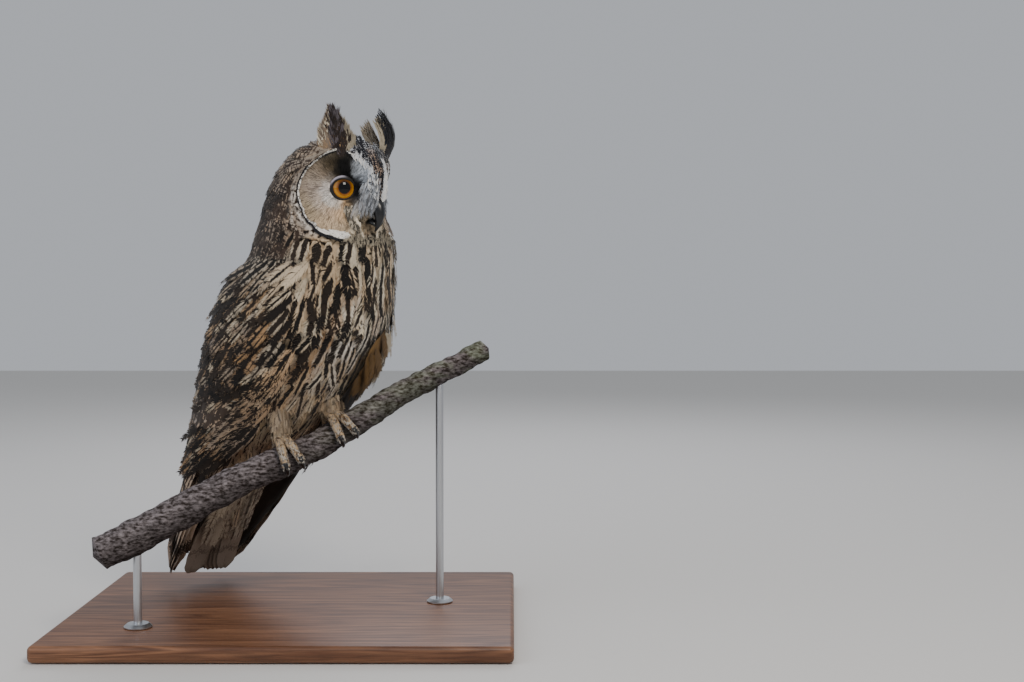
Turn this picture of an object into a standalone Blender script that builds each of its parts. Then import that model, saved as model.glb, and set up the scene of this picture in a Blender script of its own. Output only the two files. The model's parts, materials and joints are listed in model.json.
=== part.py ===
"""A long-eared owl gripping a sloping cut branch, as a still, life-size display model."""

import math
import random

import bmesh
import bpy
from mathutils import Matrix, Vector

# All sizes are in metres. The stand and the branch are drawn in the model's own frame, with its
# origin under the middle of the base. The bird is drawn in a frame of its own, x to its right,
# y ahead and z up, whose axis passes midway between its feet.
BIRD_X = 0.0177
BIRD_Y = -0.028
BIRD_TURN = math.radians(-135)
HEAD_TURN = math.radians(5)
GAP = 0.0003

# Head, neck and torso: height, middle ahead of the feet, half width, half depth.
BODY_STATIONS = (
    (0.3605, 0.0370, 0.0010, 0.0010),
    (0.3585, 0.0360, 0.0150, 0.0150),
    (0.3525, 0.0325, 0.0300, 0.0300),
    (0.3454, 0.0295, 0.0368, 0.0368),
    (0.3385, 0.0262, 0.0409, 0.0409),
    (0.3287, 0.0215, 0.0437, 0.0437),
    (0.3188, 0.0186, 0.0455, 0.0455),
    (0.3087, 0.0166, 0.0470, 0.0470),
    (0.3001, 0.0147, 0.0485, 0.0485),
    (0.2878, 0.0125, 0.0506, 0.0506),
    (0.2784, 0.0100, 0.0530, 0.0530),
    (0.2689, 0.0046, 0.0558, 0.0565),
    (0.2587, 0.0005, 0.0578, 0.0592),
    (0.2461, -0.0045, 0.0594, 0.0620),
    (0.2327, -0.0090, 0.0605, 0.0640),
    (0.2222, -0.0150, 0.0610, 0.0620),
    (0.2101, -0.0220, 0.0610, 0.0600),
    (0.1972, -0.0300, 0.0600, 0.0572),
    (0.1856, -0.0375, 0.0580, 0.0545),
    (0.1718, -0.0470, 0.0550, 0.0520),
    (0.1590, -0.0555, 0.0515, 0.0485),
    (0.1450, -0.0655, 0.0460, 0.0420),
    (0.1300, -0.0770, 0.0390, 0.0340),
    (0.1150, -0.0880, 0.0320, 0.0250),
    (0.1000, -0.0990, 0.0250, 0.0160),
    (0.0880, -0.1070, 0.0120, 0.0070),
)
NECK_TOP = 0.2835
NECK_BOTTOM = 0.2640

# Where the feathers of the folded wings reach: the same four sizes.
WING_STATIONS = (
    (0.2760, 0.0090, 0.0535, 0.0535),
    (0.2689, 0.0046, 0.0575, 0.0575),
    (0.2587, -0.0010, 0.0610, 0.0610),
    (0.2461, -0.0069, 0.0645, 0.0645),
    (0.2327, -0.0111, 0.0669, 0.0669),
    (0.2222, -0.0150, 0.0680, 0.0680),
    (0.2101, -0.0205, 0.0680, 0.0680),
    (0.1972, -0.0268, 0.0672, 0.0672),
    (0.1856, -0.0350, 0.0650, 0.0650),
    (0.1707, -0.0460, 0.0612, 0.0600),
    (0.1602, -0.0540, 0.0590, 0.0560),
    (0.1375, -0.0690, 0.0555, 0.0480),
    (0.1133, -0.0855, 0.0515, 0.0395),
    (0.0885, -0.1050, 0.0470, 0.0290),
    (0.0625, -0.1265, 0.0395, 0.0195),
    (0.0348, -0.1500, 0.0305, 0.0100),
    (0.0200, -0.1610, 0.0260, 0.0070),
)

WING_CORE_TOP = 0.258
WING_CORE_BOTTOM = 0.122
WING_CORE_SPACING = 0.0140
WING_CORE_LIFT = -0.0024
WING_CORE_DEPTH = 0.0048
WING_CORE_LEAST = 0.0022
WING_BUNDLE_DEPTH = 0.0030
WING_GAP = 0.0011
BODY_CLEAR_ABOVE = 0.125
WING_VANE_THICKNESS = 0.0006
LAYER_TAPER = 0.3

# A feather's outline: share of its length, share of its full half width, and how far it is raised
# where that is fixed. Elsewhere it rises evenly between the two lifts of its tier.
PRIMARY_SHAPE = (
    (0.0, 0.60, None),
    (0.45, 1.00, None),
    (0.86, 0.80, None),
    (1.0, 0.32, None),
)
SECONDARY_SHAPE = (
    (0.0, 0.60, -0.0036),
    (0.35, 1.00, None),
    (0.86, 0.84, None),
    (1.0, 0.36, None),
)
COVERT_SHAPE = (
    (0.0, 0.65, -0.0038),
    (0.32, 0.98, None),
    (0.78, 0.84, None),
    (1.0, 0.38, None),
)
# The tiers of the folded wing. Angles are in degrees from straight ahead, front feather first.
WING_ROWS = (
    dict(name="primary", seed=1, count=5, shape=PRIMARY_SHAPE, tilt=0.0, layer=0.0011,
         root_angles=(53, 76), root_heights=(0.146, 0.138), tip_angles=(99, 131),
         tip_heights=(0.0345, 0.0720), longest_dip=0.0110, bow=5.0,
         half_width=0.0078, lift=(-0.0070, -0.0010)),
    dict(name="primary_covert", seed=2, count=3, shape=COVERT_SHAPE, tilt=-0.0009,
         root_angles=(48, 64), root_heights=(0.188, 0.184), tip_angles=(56, 74),
         tip_heights=(0.136, 0.130), half_width=0.0074, lift=(-0.0012, 0.0000)),
    dict(name="secondary", seed=3, count=7, shape=SECONDARY_SHAPE, tilt=0.0011, layer=0.0002,
         root_angles=(80, 157), root_heights=(0.164, 0.172), tip_angles=(106, 164),
         tip_heights=(0.0880, 0.1060), bow=4.0, half_width=0.0084, lift=(-0.0012, 0.0000)),
    dict(name="greater_covert", seed=4, count=7, shape=COVERT_SHAPE, tilt=-0.0009,
         root_angles=(53, 128), root_heights=(0.202, 0.206), tip_angles=(63, 136),
         tip_heights=(0.156, 0.150), half_width=0.0084, lift=(-0.0010, 0.0014)),
    dict(name="median_covert", seed=5, count=7, shape=COVERT_SHAPE, tilt=-0.0009,
         root_angles=(47, 120), root_heights=(0.226, 0.232), tip_angles=(51, 126),
         tip_heights=(0.186, 0.188), half_width=0.0084, lift=(-0.0010, 0.0016)),
    dict(name="lesser_covert", seed=6, count=5, shape=COVERT_SHAPE, tilt=-0.0009,
         root_angles=(57, 108), root_heights=(0.249, 0.251), tip_angles=(54, 112),
         tip_heights=(0.214, 0.216), half_width=0.0086, lift=(-0.0010, 0.0018)),
    dict(name="scapular_low", seed=7, count=4, shape=COVERT_SHAPE, tilt=-0.0009,
         root_angles=(132, 162), root_heights=(0.222, 0.222), tip_angles=(137, 165),
         tip_heights=(0.172, 0.166), half_width=0.0080, lift=(-0.0006, 0.0020)),
    dict(name="scapular_high", seed=8, count=4, shape=COVERT_SHAPE, tilt=-0.0009,
         root_angles=(122, 154), root_heights=(0.250, 0.250), tip_angles=(126, 161),
         tip_heights=(0.210, 0.206), half_width=0.0080, lift=(-0.0006, 0.0024)),
)

# The face. Angles are in degrees from straight ahead, towards either side.
FACE_HEIGHT = 0.3195
FACE_AHEAD = 0.0198
RIDGE_PROUD = 0.0072
RIDGE_HALF_ANGLE = 11.0
DISC_ANGLE = 40.5
DISC_HALF_ANGLE = 35.0
DISC_HALF_HEIGHT = 0.0325
DISC_DEPTH = 0.0066
DISC_LIP = 0.0016
CHIN_HEIGHT = 0.2950
CHIN_DEPTH = 0.0045

EYE_SIDE = 0.0148
EYE_AHEAD = 0.0288
EYE_HEIGHT = 0.3241
EYE_RADIUS = 0.0095
EYE_OUTWARD = math.radians(33)
EYE_DOWN = math.radians(3)
LID_THICKNESS = 0.0014
LID_OPENING = 0.0079

BILL_WIDTH = 0.0096
BILL_PATH = (
    (0.0393, 0.3125, 1.00),
    (0.0443, 0.3130, 1.00),
    (0.0483, 0.3105, 0.92),
    (0.0503, 0.3060, 0.74),
    (0.0503, 0.3015, 0.52),
    (0.0486, 0.2970, 0.30),
    (0.0460, 0.2935, 0.08),
)
LOWER_BILL_PATH = (
    (0.0378, 0.3010, 0.85),
    (0.0423, 0.3005, 0.80),
    (0.0458, 0.2988, 0.58),
    (0.0478, 0.2965, 0.18),
)

TUFT_SIDE = 0.0229
TUFT_AHEAD = 0.0320
TUFT_BASE = 0.3515
TUFT_RING = 0.0078
TUFT_FEATHERS = 6
TUFT_LENGTH = 0.034
TUFT_FEATHER_HALF_WIDTH = 0.0038
TUFT_TILT = 0.0009

BRANCH_POINTS = (
    (-0.1270, -0.0806, 0.0668, 0.0131),
    (-0.0990, -0.0695, 0.0800, 0.0130),
    (-0.0749, -0.0600, 0.0926, 0.0128),
    (-0.0386, -0.0464, 0.1120, 0.0121),
    (-0.0100, -0.0372, 0.1243, 0.0116),
    (0.0171, -0.0280, 0.1361, 0.0113),
    (0.0390, -0.0188, 0.1490, 0.0108),
    (0.0817, -0.0004, 0.1746, 0.0096),
    (0.1190, 0.0138, 0.1938, 0.0088),
    (0.1420, 0.0226, 0.2052, 0.0085),
)

FOOT_SPACING = 0.043
TOE_RADIUS = 0.0043
TOE_SPREAD = 0.0054
CLAW_RADIUS = 0.0017

TAIL_ROOT = Vector((0, -0.0965, 0.1045))
TAIL_TIP = Vector((0, -0.1510, 0.0215))
TAIL_FEATHERS = 12
TAIL_ROOT_HALF_WIDTH = 0.0235
TAIL_ROOT_HALF_DEPTH = 0.0125
TAIL_ROOT_SPREAD = 0.009
TAIL_TIP_SPREAD = 0.0165
TAIL_FEATHER_HALF_WIDTH = 0.0095
TAIL_LAYER = 0.0015
TAIL_BOW = 0.002
TAIL_SHAPE = ((0.08, 0.5), (0.6, 1.0), (0.92, 0.8), (1.0, 0.3))

BASE_LENGTH = 0.33
BASE_DEPTH = 0.25
BASE_THICKNESS = 0.012
BASE_EDGE = 0.0035
ROD_RADIUS = 0.003
ROD_FOOT_RADIUS = 0.010
ROD_FOOT_HEIGHT = 0.003
ROD_AT = (-0.103, 0.108)

COLOURS = {
    "feather_breast": ((0.50, 0.40, 0.27), 0.9, 0.0),
    "feather_wing": ((0.13, 0.10, 0.07), 0.85, 0.0),
    "feather_face": ((0.42, 0.35, 0.27), 0.9, 0.0),
    "feather_tail": ((0.30, 0.26, 0.21), 0.85, 0.0),
    "feather_tuft": ((0.09, 0.07, 0.06), 0.9, 0.0),
    "feather_foot": ((0.60, 0.50, 0.38), 0.9, 0.0),
    "eye": ((0.75, 0.30, 0.03), 0.1, 0.0),
    "horn": ((0.03, 0.03, 0.035), 0.35, 0.0),
    "bark": ((0.20, 0.20, 0.15), 0.9, 0.0),
    "dark_wood": ((0.10, 0.05, 0.03), 0.45, 0.0),
    "steel": ((0.35, 0.35, 0.36), 0.35, 1.0),
}


def clear_scene():
    for item in list(bpy.data.objects):
        bpy.data.objects.remove(item, do_unlink=True)


def make_collection(name):
    collection = bpy.data.collections.new(name)
    bpy.context.scene.collection.children.link(collection)
    return collection


def material(name):
    found = bpy.data.materials.get(name)
    if found:
        return found
    colour, roughness, metallic = COLOURS[name]
    made = bpy.data.materials.new(name)
    made.use_nodes = True
    shader = made.node_tree.nodes["Principled BSDF"]
    shader.inputs["Base Color"].default_value = (*colour, 1)
    shader.inputs["Roughness"].default_value = roughness
    shader.inputs["Metallic"].default_value = metallic
    return made


def add_object(name, data, collection, parent=None):
    item = bpy.data.objects.new(name, data)
    collection.objects.link(item)
    if parent:
        item.parent = parent
    return item


def mesh_from(bm, name):
    bmesh.ops.recalc_face_normals(bm, faces=bm.faces)
    data = bpy.data.meshes.new(name)
    bm.to_mesh(data)
    bm.free()
    return data


def evaluated_mesh(item):
    bpy.context.view_layer.update()
    graph = bpy.context.evaluated_depsgraph_get()
    return bpy.data.meshes.new_from_object(item.evaluated_get(graph))


def apply_modifiers(item):
    """The object's mesh as its modifiers leave it, in place of its own."""
    data = evaluated_mesh(item)
    item.modifiers.clear()
    item.data = data


def keep_largest(item):
    """Drops all but the largest closed surface of a mesh."""
    bm = bmesh.new()
    bm.from_mesh(item.data)
    bmesh.ops.remove_doubles(bm, verts=bm.verts, dist=1e-7)
    bm.faces.ensure_lookup_table()
    unseen = set(bm.faces)
    shells = []
    while unseen:
        shell = {unseen.pop()}
        edge_faces = list(shell)
        while edge_faces:
            face = edge_faces.pop()
            for edge in face.edges:
                for near in edge.link_faces:
                    if near in unseen:
                        unseen.discard(near)
                        shell.add(near)
                        edge_faces.append(near)
        shells.append(shell)
    volumes = [abs(shell_volume(shell)) for shell in shells]
    largest = shells[volumes.index(max(volumes))]
    spare = [face for face in bm.faces if face not in largest]
    bmesh.ops.delete(bm, geom=spare, context="FACES")
    bm.to_mesh(item.data)
    bm.free()


def shell_volume(shell):
    total = 0.0
    for face in shell:
        corners = [vert.co for vert in face.verts]
        for second, third in zip(corners[1:-1], corners[2:]):
            total += corners[0].dot(second.cross(third)) / 6
    return total


def boolean(item, cutter, operation, solver="EXACT"):
    step = item.modifiers.new(operation.lower(), "BOOLEAN")
    step.operation = operation
    step.solver = solver
    step.object = cutter
    apply_modifiers(item)


def carve(item, neighbour, gap=GAP):
    """Cuts a piece back to a small gap from the neighbour that it meets."""
    grown = neighbour.copy()
    grown.data = neighbour.data.copy()
    cutters.objects.link(grown)
    grown.hide_render = True
    grown.display_type = "WIRE"
    bm = bmesh.new()
    bm.from_mesh(grown.data)
    bm.normal_update()
    moved = [vert.co + vert.normal * gap for vert in bm.verts]
    for vert, place in zip(bm.verts, moved):
        vert.co = place
    bm.to_mesh(grown.data)
    bm.free()
    boolean(item, grown, "DIFFERENCE")
    bpy.data.objects.remove(grown, do_unlink=True)
    keep_largest(item)


def join_pieces(item, pieces, solver="EXACT"):
    """One closed body from a core and the pieces rooted in it."""
    holder = make_collection(item.name + "_pieces")
    for piece in pieces:
        for owner in list(piece.users_collection):
            owner.objects.unlink(piece)
        holder.objects.link(piece)
    step = item.modifiers.new("union", "BOOLEAN")
    step.operation = "UNION"
    step.operand_type = "COLLECTION"
    step.collection = holder
    step.solver = solver
    apply_modifiers(item)
    for piece in list(holder.objects):
        bpy.data.objects.remove(piece, do_unlink=True)
    bpy.data.collections.remove(holder)
    keep_largest(item)


def finish(item, colour, sharp=40):
    item.data.materials.clear()
    item.data.materials.append(material(colour))
    item.data.shade_smooth()
    item.data.set_sharp_from_angle(angle=math.radians(sharp))
    return item


def smooth_step(low, high, value):
    share = min(max((value - low) / (high - low), 0.0), 1.0)
    return share * share * (3 - 2 * share)


def section(stations, height):
    """Middle, half width and half depth at a height, eased between the stations."""
    last = len(stations) - 1
    for i in range(last):
        upper, lower = stations[i], stations[i + 1]
        if height >= lower[0] or i == last - 1:
            share = (upper[0] - height) / (upper[0] - lower[0])
            before = stations[max(i - 1, 0)]
            after = stations[min(i + 2, last)]
            return tuple(
                ease(before, upper, lower, after, column, share) for column in (1, 2, 3)
            )


def ease(before, upper, lower, after, column, share):
    """A cubic between two stations that leaves each at its neighbours' mean slope."""
    length = upper[0] - lower[0]
    slope_in = (lower[column] - before[column]) / (before[0] - lower[0]) * length
    slope_out = (after[column] - upper[column]) / (upper[0] - after[0]) * length
    if share < 0 or share > 1:
        return upper[column] + (lower[column] - upper[column]) * share
    s2 = share * share
    s3 = s2 * share
    return (
        (2 * s3 - 3 * s2 + 1) * upper[column]
        + (s3 - 2 * s2 + share) * slope_in
        + (3 * s2 - 2 * s3) * lower[column]
        + (s3 - s2) * slope_out
    )


def body_point(angle, height, proud=0.0):
    """A point of the head, neck or torso, at an angle from straight ahead to the right."""
    middle, half_width, half_depth = section(BODY_STATIONS, height)
    x = math.sin(angle) * (half_width + proud)
    y = math.cos(angle) * (half_depth + proud)
    return Vector((x, middle + y, height))


def face_relief(degrees, height):
    """How far the face stands out from, or sinks into, the round of the head."""
    off_middle = abs(degrees)
    ridge_fade = smooth_step(0.298, 0.312, height) * (1 - smooth_step(0.330, 0.352, height))
    ridge = RIDGE_PROUD * ridge_fade * math.exp(-((off_middle / RIDGE_HALF_ANGLE) ** 2))
    across = (off_middle - DISC_ANGLE) / DISC_HALF_ANGLE
    up = (height - FACE_HEIGHT) / DISC_HALF_HEIGHT
    reach = math.hypot(across, up)
    dish = DISC_DEPTH * max(0.0, 1 - reach**2.4)
    lip = DISC_LIP * math.exp(-(((reach - 1.02) / 0.075) ** 2))
    chin = CHIN_DEPTH * math.exp(-((off_middle / 17) ** 2) - ((height - CHIN_HEIGHT) / 0.008) ** 2)
    return ridge + lip - dish - chin


def head_point(angle, height):
    proud = face_relief(math.degrees(angle), height)
    return body_point(angle - HEAD_TURN, height, proud)


def closed_rings(rings, name):
    """A closed skin over a stack of rings, flat at both ends."""
    bm = bmesh.new()
    loops = [[bm.verts.new(point) for point in ring] for ring in rings]
    for first, second in zip(loops, loops[1:]):
        for i in range(len(first)):
            j = (i + 1) % len(first)
            bm.faces.new((first[i], first[j], second[j]))
            bm.faces.new((first[i], second[j], second[i]))
    bm.faces.new(loops[0])
    bm.faces.new(loops[-1])
    return mesh_from(bm, name)


def heights_between(top, bottom, spacing):
    count = max(2, round((top - bottom) / spacing))
    return [top + (bottom - top) * i / count for i in range(count + 1)]


def body_part(name, top, bottom, spacing, sides, point=body_point):
    angles = [2 * math.pi * i / sides - math.pi for i in range(sides)]
    rings = [[point(a, h) for a in angles] for h in heights_between(top, bottom, spacing)]
    return add_object(name, closed_rings(rings, name), owl, bird)


def ball(name, place, radius, segments=20, rings=12):
    bm = bmesh.new()
    bmesh.ops.create_uvsphere(bm, u_segments=segments, v_segments=rings, radius=radius)
    bmesh.ops.translate(bm, verts=bm.verts, vec=place)
    return add_object(name, mesh_from(bm, name), owl, bird)


def cone(name, start, end, start_radius, end_radius, sides=20, parent=None):
    """A round bar or cone between two points."""
    way = end - start
    bm = bmesh.new()
    bmesh.ops.create_cone(
        bm, cap_ends=True, segments=sides, radius1=start_radius, radius2=end_radius, depth=way.length
    )
    turn = way.to_track_quat("Z", "Y").to_matrix().to_4x4()
    place = Matrix.Translation((start + end) / 2) @ turn
    bmesh.ops.transform(bm, matrix=place, verts=bm.verts)
    return add_object(name, mesh_from(bm, name), owl, parent)


def tube(name, points, radii, parent=None, resolution=2):
    """A round bar along a route, with a radius at each of its points, as a mesh."""
    curve = bpy.data.curves.new(name, "CURVE")
    curve.dimensions = "3D"
    curve.bevel_depth = 1.0
    curve.bevel_resolution = resolution
    curve.use_fill_caps = True
    spline = curve.splines.new("POLY")
    spline.points.add(len(points) - 1)
    for knot, point, radius in zip(spline.points, points, radii):
        knot.co = (*point, 1)
        knot.radius = radius
    guide = add_object(name + "_route", curve, cutters, parent)
    data = evaluated_mesh(guide)
    bm = bmesh.new()
    bm.from_mesh(data)
    bmesh.ops.remove_doubles(bm, verts=bm.verts, dist=1e-6)
    bpy.data.objects.remove(guide, do_unlink=True)
    return add_object(name, mesh_from(bm, name), owl, parent)


def head_place(side, ahead, height):
    """A place given from the middle of the face's own plane of symmetry."""
    x = side * math.cos(HEAD_TURN) - ahead * math.sin(HEAD_TURN)
    y = ahead * math.cos(HEAD_TURN) + side * math.sin(HEAD_TURN)
    return Vector((x, FACE_AHEAD + y, height))


def head_direction(outward, down, side):
    flat = math.cos(down)
    tip = head_place(side * math.sin(outward) * flat, math.cos(outward) * flat, -math.sin(down))
    return tip - head_place(0, 0, 0)


def make_head():
    """The head with its face, lids and eyes. Returns its form without lids, to cut its neighbours by."""
    head = body_part("head", 0.3603, NECK_TOP, 0.0038, 56, head_point)
    form = head.copy()
    form.data = head.data.copy()
    cutters.objects.link(form)
    for side, word in ((1, "right"), (-1, "left")):
        middle = head_place(side * EYE_SIDE, EYE_AHEAD, EYE_HEIGHT)
        look = head_direction(EYE_OUTWARD, EYE_DOWN, side)
        lid = ball("lid_" + word, middle, EYE_RADIUS + GAP + LID_THICKNESS, 20, 12)
        socket = ball("socket_" + word, middle, EYE_RADIUS + GAP, 16, 10)
        near = middle + look * EYE_RADIUS * 0.35
        far = middle + look * EYE_RADIUS * 1.6
        opening = cone("opening_" + word, near, far, LID_OPENING * 0.93, LID_OPENING * 1.5, 18, bird)
        boolean(head, lid, "UNION")
        boolean(head, socket, "DIFFERENCE")
        boolean(head, opening, "DIFFERENCE")
        for spare in (lid, socket, opening):
            bpy.data.objects.remove(spare, do_unlink=True)
        eye = ball("eye_" + word, middle, EYE_RADIUS, 14, 9)
        finish(eye, "eye")
    keep_largest(head)
    finish(head, "feather_face")
    return form


def bill_mesh(name, path, depth_share, width_share):
    rings = []
    sides = 12
    for i, (ahead, height, share) in enumerate(path):
        before = path[max(i - 1, 0)]
        after = path[min(i + 1, len(path) - 1)]
        run = Vector((0, after[0] - before[0], after[1] - before[1])).normalized()
        over = Vector((0, -run.z, run.y))
        half_width = BILL_WIDTH / 2 * share * width_share
        half_depth = BILL_WIDTH / 2 * share * depth_share
        ring = []
        for k in range(sides):
            turn = 2 * math.pi * k / sides
            out = over * math.cos(turn) * half_depth
            ring.append(
                head_place(math.sin(turn) * half_width, ahead + out.y, height + out.z)
            )
        rings.append(ring)
    return add_object(name, closed_rings(rings, name), owl, bird)


def make_bill(head):
    upper = bill_mesh("bill_upper", BILL_PATH, 1.0, 1.0)
    lower = bill_mesh("bill_lower", LOWER_BILL_PATH, 0.55, 0.8)
    for side in (1, -1):
        nostril = ball("nostril", head_place(side * 0.0050, 0.0492, 0.3120), 0.0011, 10, 6)
        boolean(upper, nostril, "DIFFERENCE")
        bpy.data.objects.remove(nostril, do_unlink=True)
    carve(upper, head)
    carve(lower, head)
    carve(lower, upper)
    finish(upper, "horn")
    finish(lower, "horn")


def vane(name, rows, thickness):
    """A feather as a thin closed blade. Each row is its two edges and its outward way."""
    bm = bmesh.new()
    loops = []
    for (front, rear), out in rows:
        half = out * thickness / 2
        loops.append([bm.verts.new(spot) for spot in (front + half, rear + half, rear - half, front - half)])
    for first, second in zip(loops, loops[1:]):
        for j, k in ((0, 1), (3, 2), (0, 3), (1, 2)):
            split_quad(bm, first[j], first[k], second[k], second[j])
    for loop in (loops[0], loops[-1]):
        split_quad(bm, *loop)
    return add_object(name, mesh_from(bm, name), owl, bird)


def split_quad(bm, first, second, third, fourth):
    bm.faces.new((first, second, third))
    bm.faces.new((first, third, fourth))


def make_ear_tuft(side, word, head):
    """A tuft of narrow feathers on an arc round a small root. The left one is parted in two."""
    base = head_place(side * TUFT_SIDE, TUFT_AHEAD, TUFT_BASE)
    root_end = base + Vector((side * 0.001, 0, 0.006))
    tuft = cone("ear_tuft_" + word, base - Vector((0, 0, 0.008)), root_end, 0.0088, 0.0040, 10, bird)
    draw = random.Random(31 + side)
    pieces = []
    for i in range(TUFT_FEATHERS):
        share = i / (TUFT_FEATHERS - 1)
        turn = math.radians(-150 + 255 * share)
        ring = Vector((side * math.sin(turn), math.cos(turn), 0))
        root = base + ring * TUFT_RING * 0.55 - Vector((0, 0, 0.004))
        length = TUFT_LENGTH * (1 - 0.30 * abs(share - 0.55)) * draw.uniform(0.94, 1.03)
        lean = Vector((side * 0.0035, -0.0015, length))
        if side < 0:
            front = share > 0.45
            lean = Vector((-0.0020, 0.0045, length)) if front else Vector((0.0065, -0.0120, length * 0.68))
        tip = base + lean + ring * TUFT_RING * draw.uniform(0.15, 0.35)
        way = (tip - root).normalized()
        across = way.cross(ring).normalized()
        out = across.cross(way).normalized()
        rows = []
        for along, wide in ((0.0, 0.8), (0.4, 1.0), (0.75, 0.8), (1.0, 0.15)):
            middle = root.lerp(tip, along) + ring * TUFT_RING * 0.5 * math.sin(math.pi * along)
            reach = across * TUFT_FEATHER_HALF_WIDTH * wide - out * TUFT_TILT
            rows.append(((middle - reach, middle + reach), out))
        pieces.append(vane("tuft_feather", rows, 0.0006))
    join_pieces(tuft, pieces, "MANIFOLD")
    carve(tuft, head)
    return finish(tuft, "feather_tuft")


def make_wing(side, word):
    """The folded wing: a thin core over the flank that carries its feathers in overlapping tiers."""
    rings = []
    for height in heights_between(WING_CORE_TOP, WING_CORE_BOTTOM, WING_CORE_SPACING):
        front = math.radians(44 + 12 * smooth_step(0.150, WING_CORE_BOTTOM, height))
        back = math.radians(166 - 8 * smooth_step(0.140, WING_CORE_BOTTOM, height))
        front += math.radians(24) * smooth_step(0.232, WING_CORE_TOP, height)
        back -= math.radians(22) * smooth_step(0.240, WING_CORE_TOP, height)
        ring = []
        for k in range(8):
            spot = wing_spot(side, front + (back - front) * k / 7, height, WING_CORE_LIFT)
            ring.append(clear_of_body(spot, WING_GAP + WING_CORE_LEAST))
        for k in range(11):
            share = 1 - k / 10
            angle = front + (back - front) * share
            bundle = smooth_step(0.5, 0.2, share) * smooth_step(0.19, 0.155, height)
            thick = (WING_CORE_DEPTH + WING_BUNDLE_DEPTH * bundle) * min(1.0, 0.45 + 4 * share, 4.45 - 4 * share)
            ring.append(clear_of_body(wing_spot(side, angle, height, WING_CORE_LIFT - thick), WING_GAP))
        rings.append(ring)
    wing = add_object("wing_" + word, closed_rings(rings, "wing_" + word), owl, bird)
    pieces = []
    for row in WING_ROWS:
        draw = random.Random(row["seed"] + side)
        for i in range(row["count"]):
            share = i / (row["count"] - 1)
            pieces.append(wing_vane(side, row, share, draw, i * row.get("layer", 0.0)))
    join_pieces(wing, pieces, "MANIFOLD")
    return finish(wing, "feather_wing")


def clear_of_body(point, gap):
    """The same point, moved straight outward if it lies closer to the torso than a gap."""
    middle, half_width, half_depth = section(BODY_STATIONS, point.z)
    reach = math.hypot(point.x / (half_width + gap), (point.y - middle) / (half_depth + gap))
    if reach >= 1 or point.z < BODY_CLEAR_ABOVE:
        return point
    return Vector((point.x / reach, middle + (point.y - middle) / reach, point.z))


def between(ends, share):
    return ends[0] + (ends[1] - ends[0]) * share


def wing_spot(side, angle, height, lift):
    """A point on the folded wing, at an angle from straight ahead, raised off its surface."""
    middle, half_width, half_depth = section(WING_STATIONS, height)
    out = Vector((math.sin(angle) / half_width, math.cos(angle) / half_depth, 0)).normalized()
    x = half_width * math.sin(angle) + out.x * lift
    y = middle + half_depth * math.cos(angle) + out.y * lift
    return Vector((side * x, y, height))


def wing_vane(side, row, share, draw, layer):
    """One feather of a tier, laid on the wing from its root in the core to its free tip."""
    start = (between(row["root_angles"], share), between(row["root_heights"], share))
    end = (between(row["tip_angles"], share), between(row["tip_heights"], share))
    dip = row.get("longest_dip", 0.0) * math.sin(math.pi * min(1.0, share * 2.6))
    end = (end[0] + draw.uniform(-1, 1), end[1] - dip + draw.uniform(-0.0015, 0.0015))
    half_width = row["half_width"] * draw.uniform(0.95, 1.03)
    least = WING_GAP + WING_VANE_THICKNESS * draw.uniform(0.8, 1.6)
    low, high = row["lift"]
    rows = []
    for along, wide, rise in row["shape"]:
        lift = low + (high - low) * along if rise is None else rise
        lift += layer * (1 - LAYER_TAPER * along)
        places = []
        for step in (along - 0.02, along + 0.02, along):
            bow = row.get("bow", 0.0) * math.sin(math.pi * step)
            angle = math.radians(start[0] + (end[0] - start[0]) * step + bow)
            places.append((angle, start[1] + (end[1] - start[1]) * step))
        before, after, (angle, height) = places
        middle = wing_spot(side, angle, height, lift)
        run = wing_spot(side, *after, lift) - wing_spot(side, *before, lift)
        round_way = wing_spot(side, angle + 0.01, height, lift) - middle
        out = round_way.cross(run).normalized() * side
        across = run.cross(out).normalized() * side
        points = []
        for edge in (-1, 1):
            reach = half_width * wide * edge
            high_at = height + across.z * reach
            level = wing_spot(side, angle, high_at, lift)
            turn = (middle + across * reach - level).dot(round_way) / round_way.length_squared * 0.01
            spot = wing_spot(side, angle + turn, high_at, lift - row["tilt"] * edge)
            points.append(clear_of_body(spot, least))
        rows.append((points, out))
    return vane(row["name"], rows, WING_VANE_THICKNESS)


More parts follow.
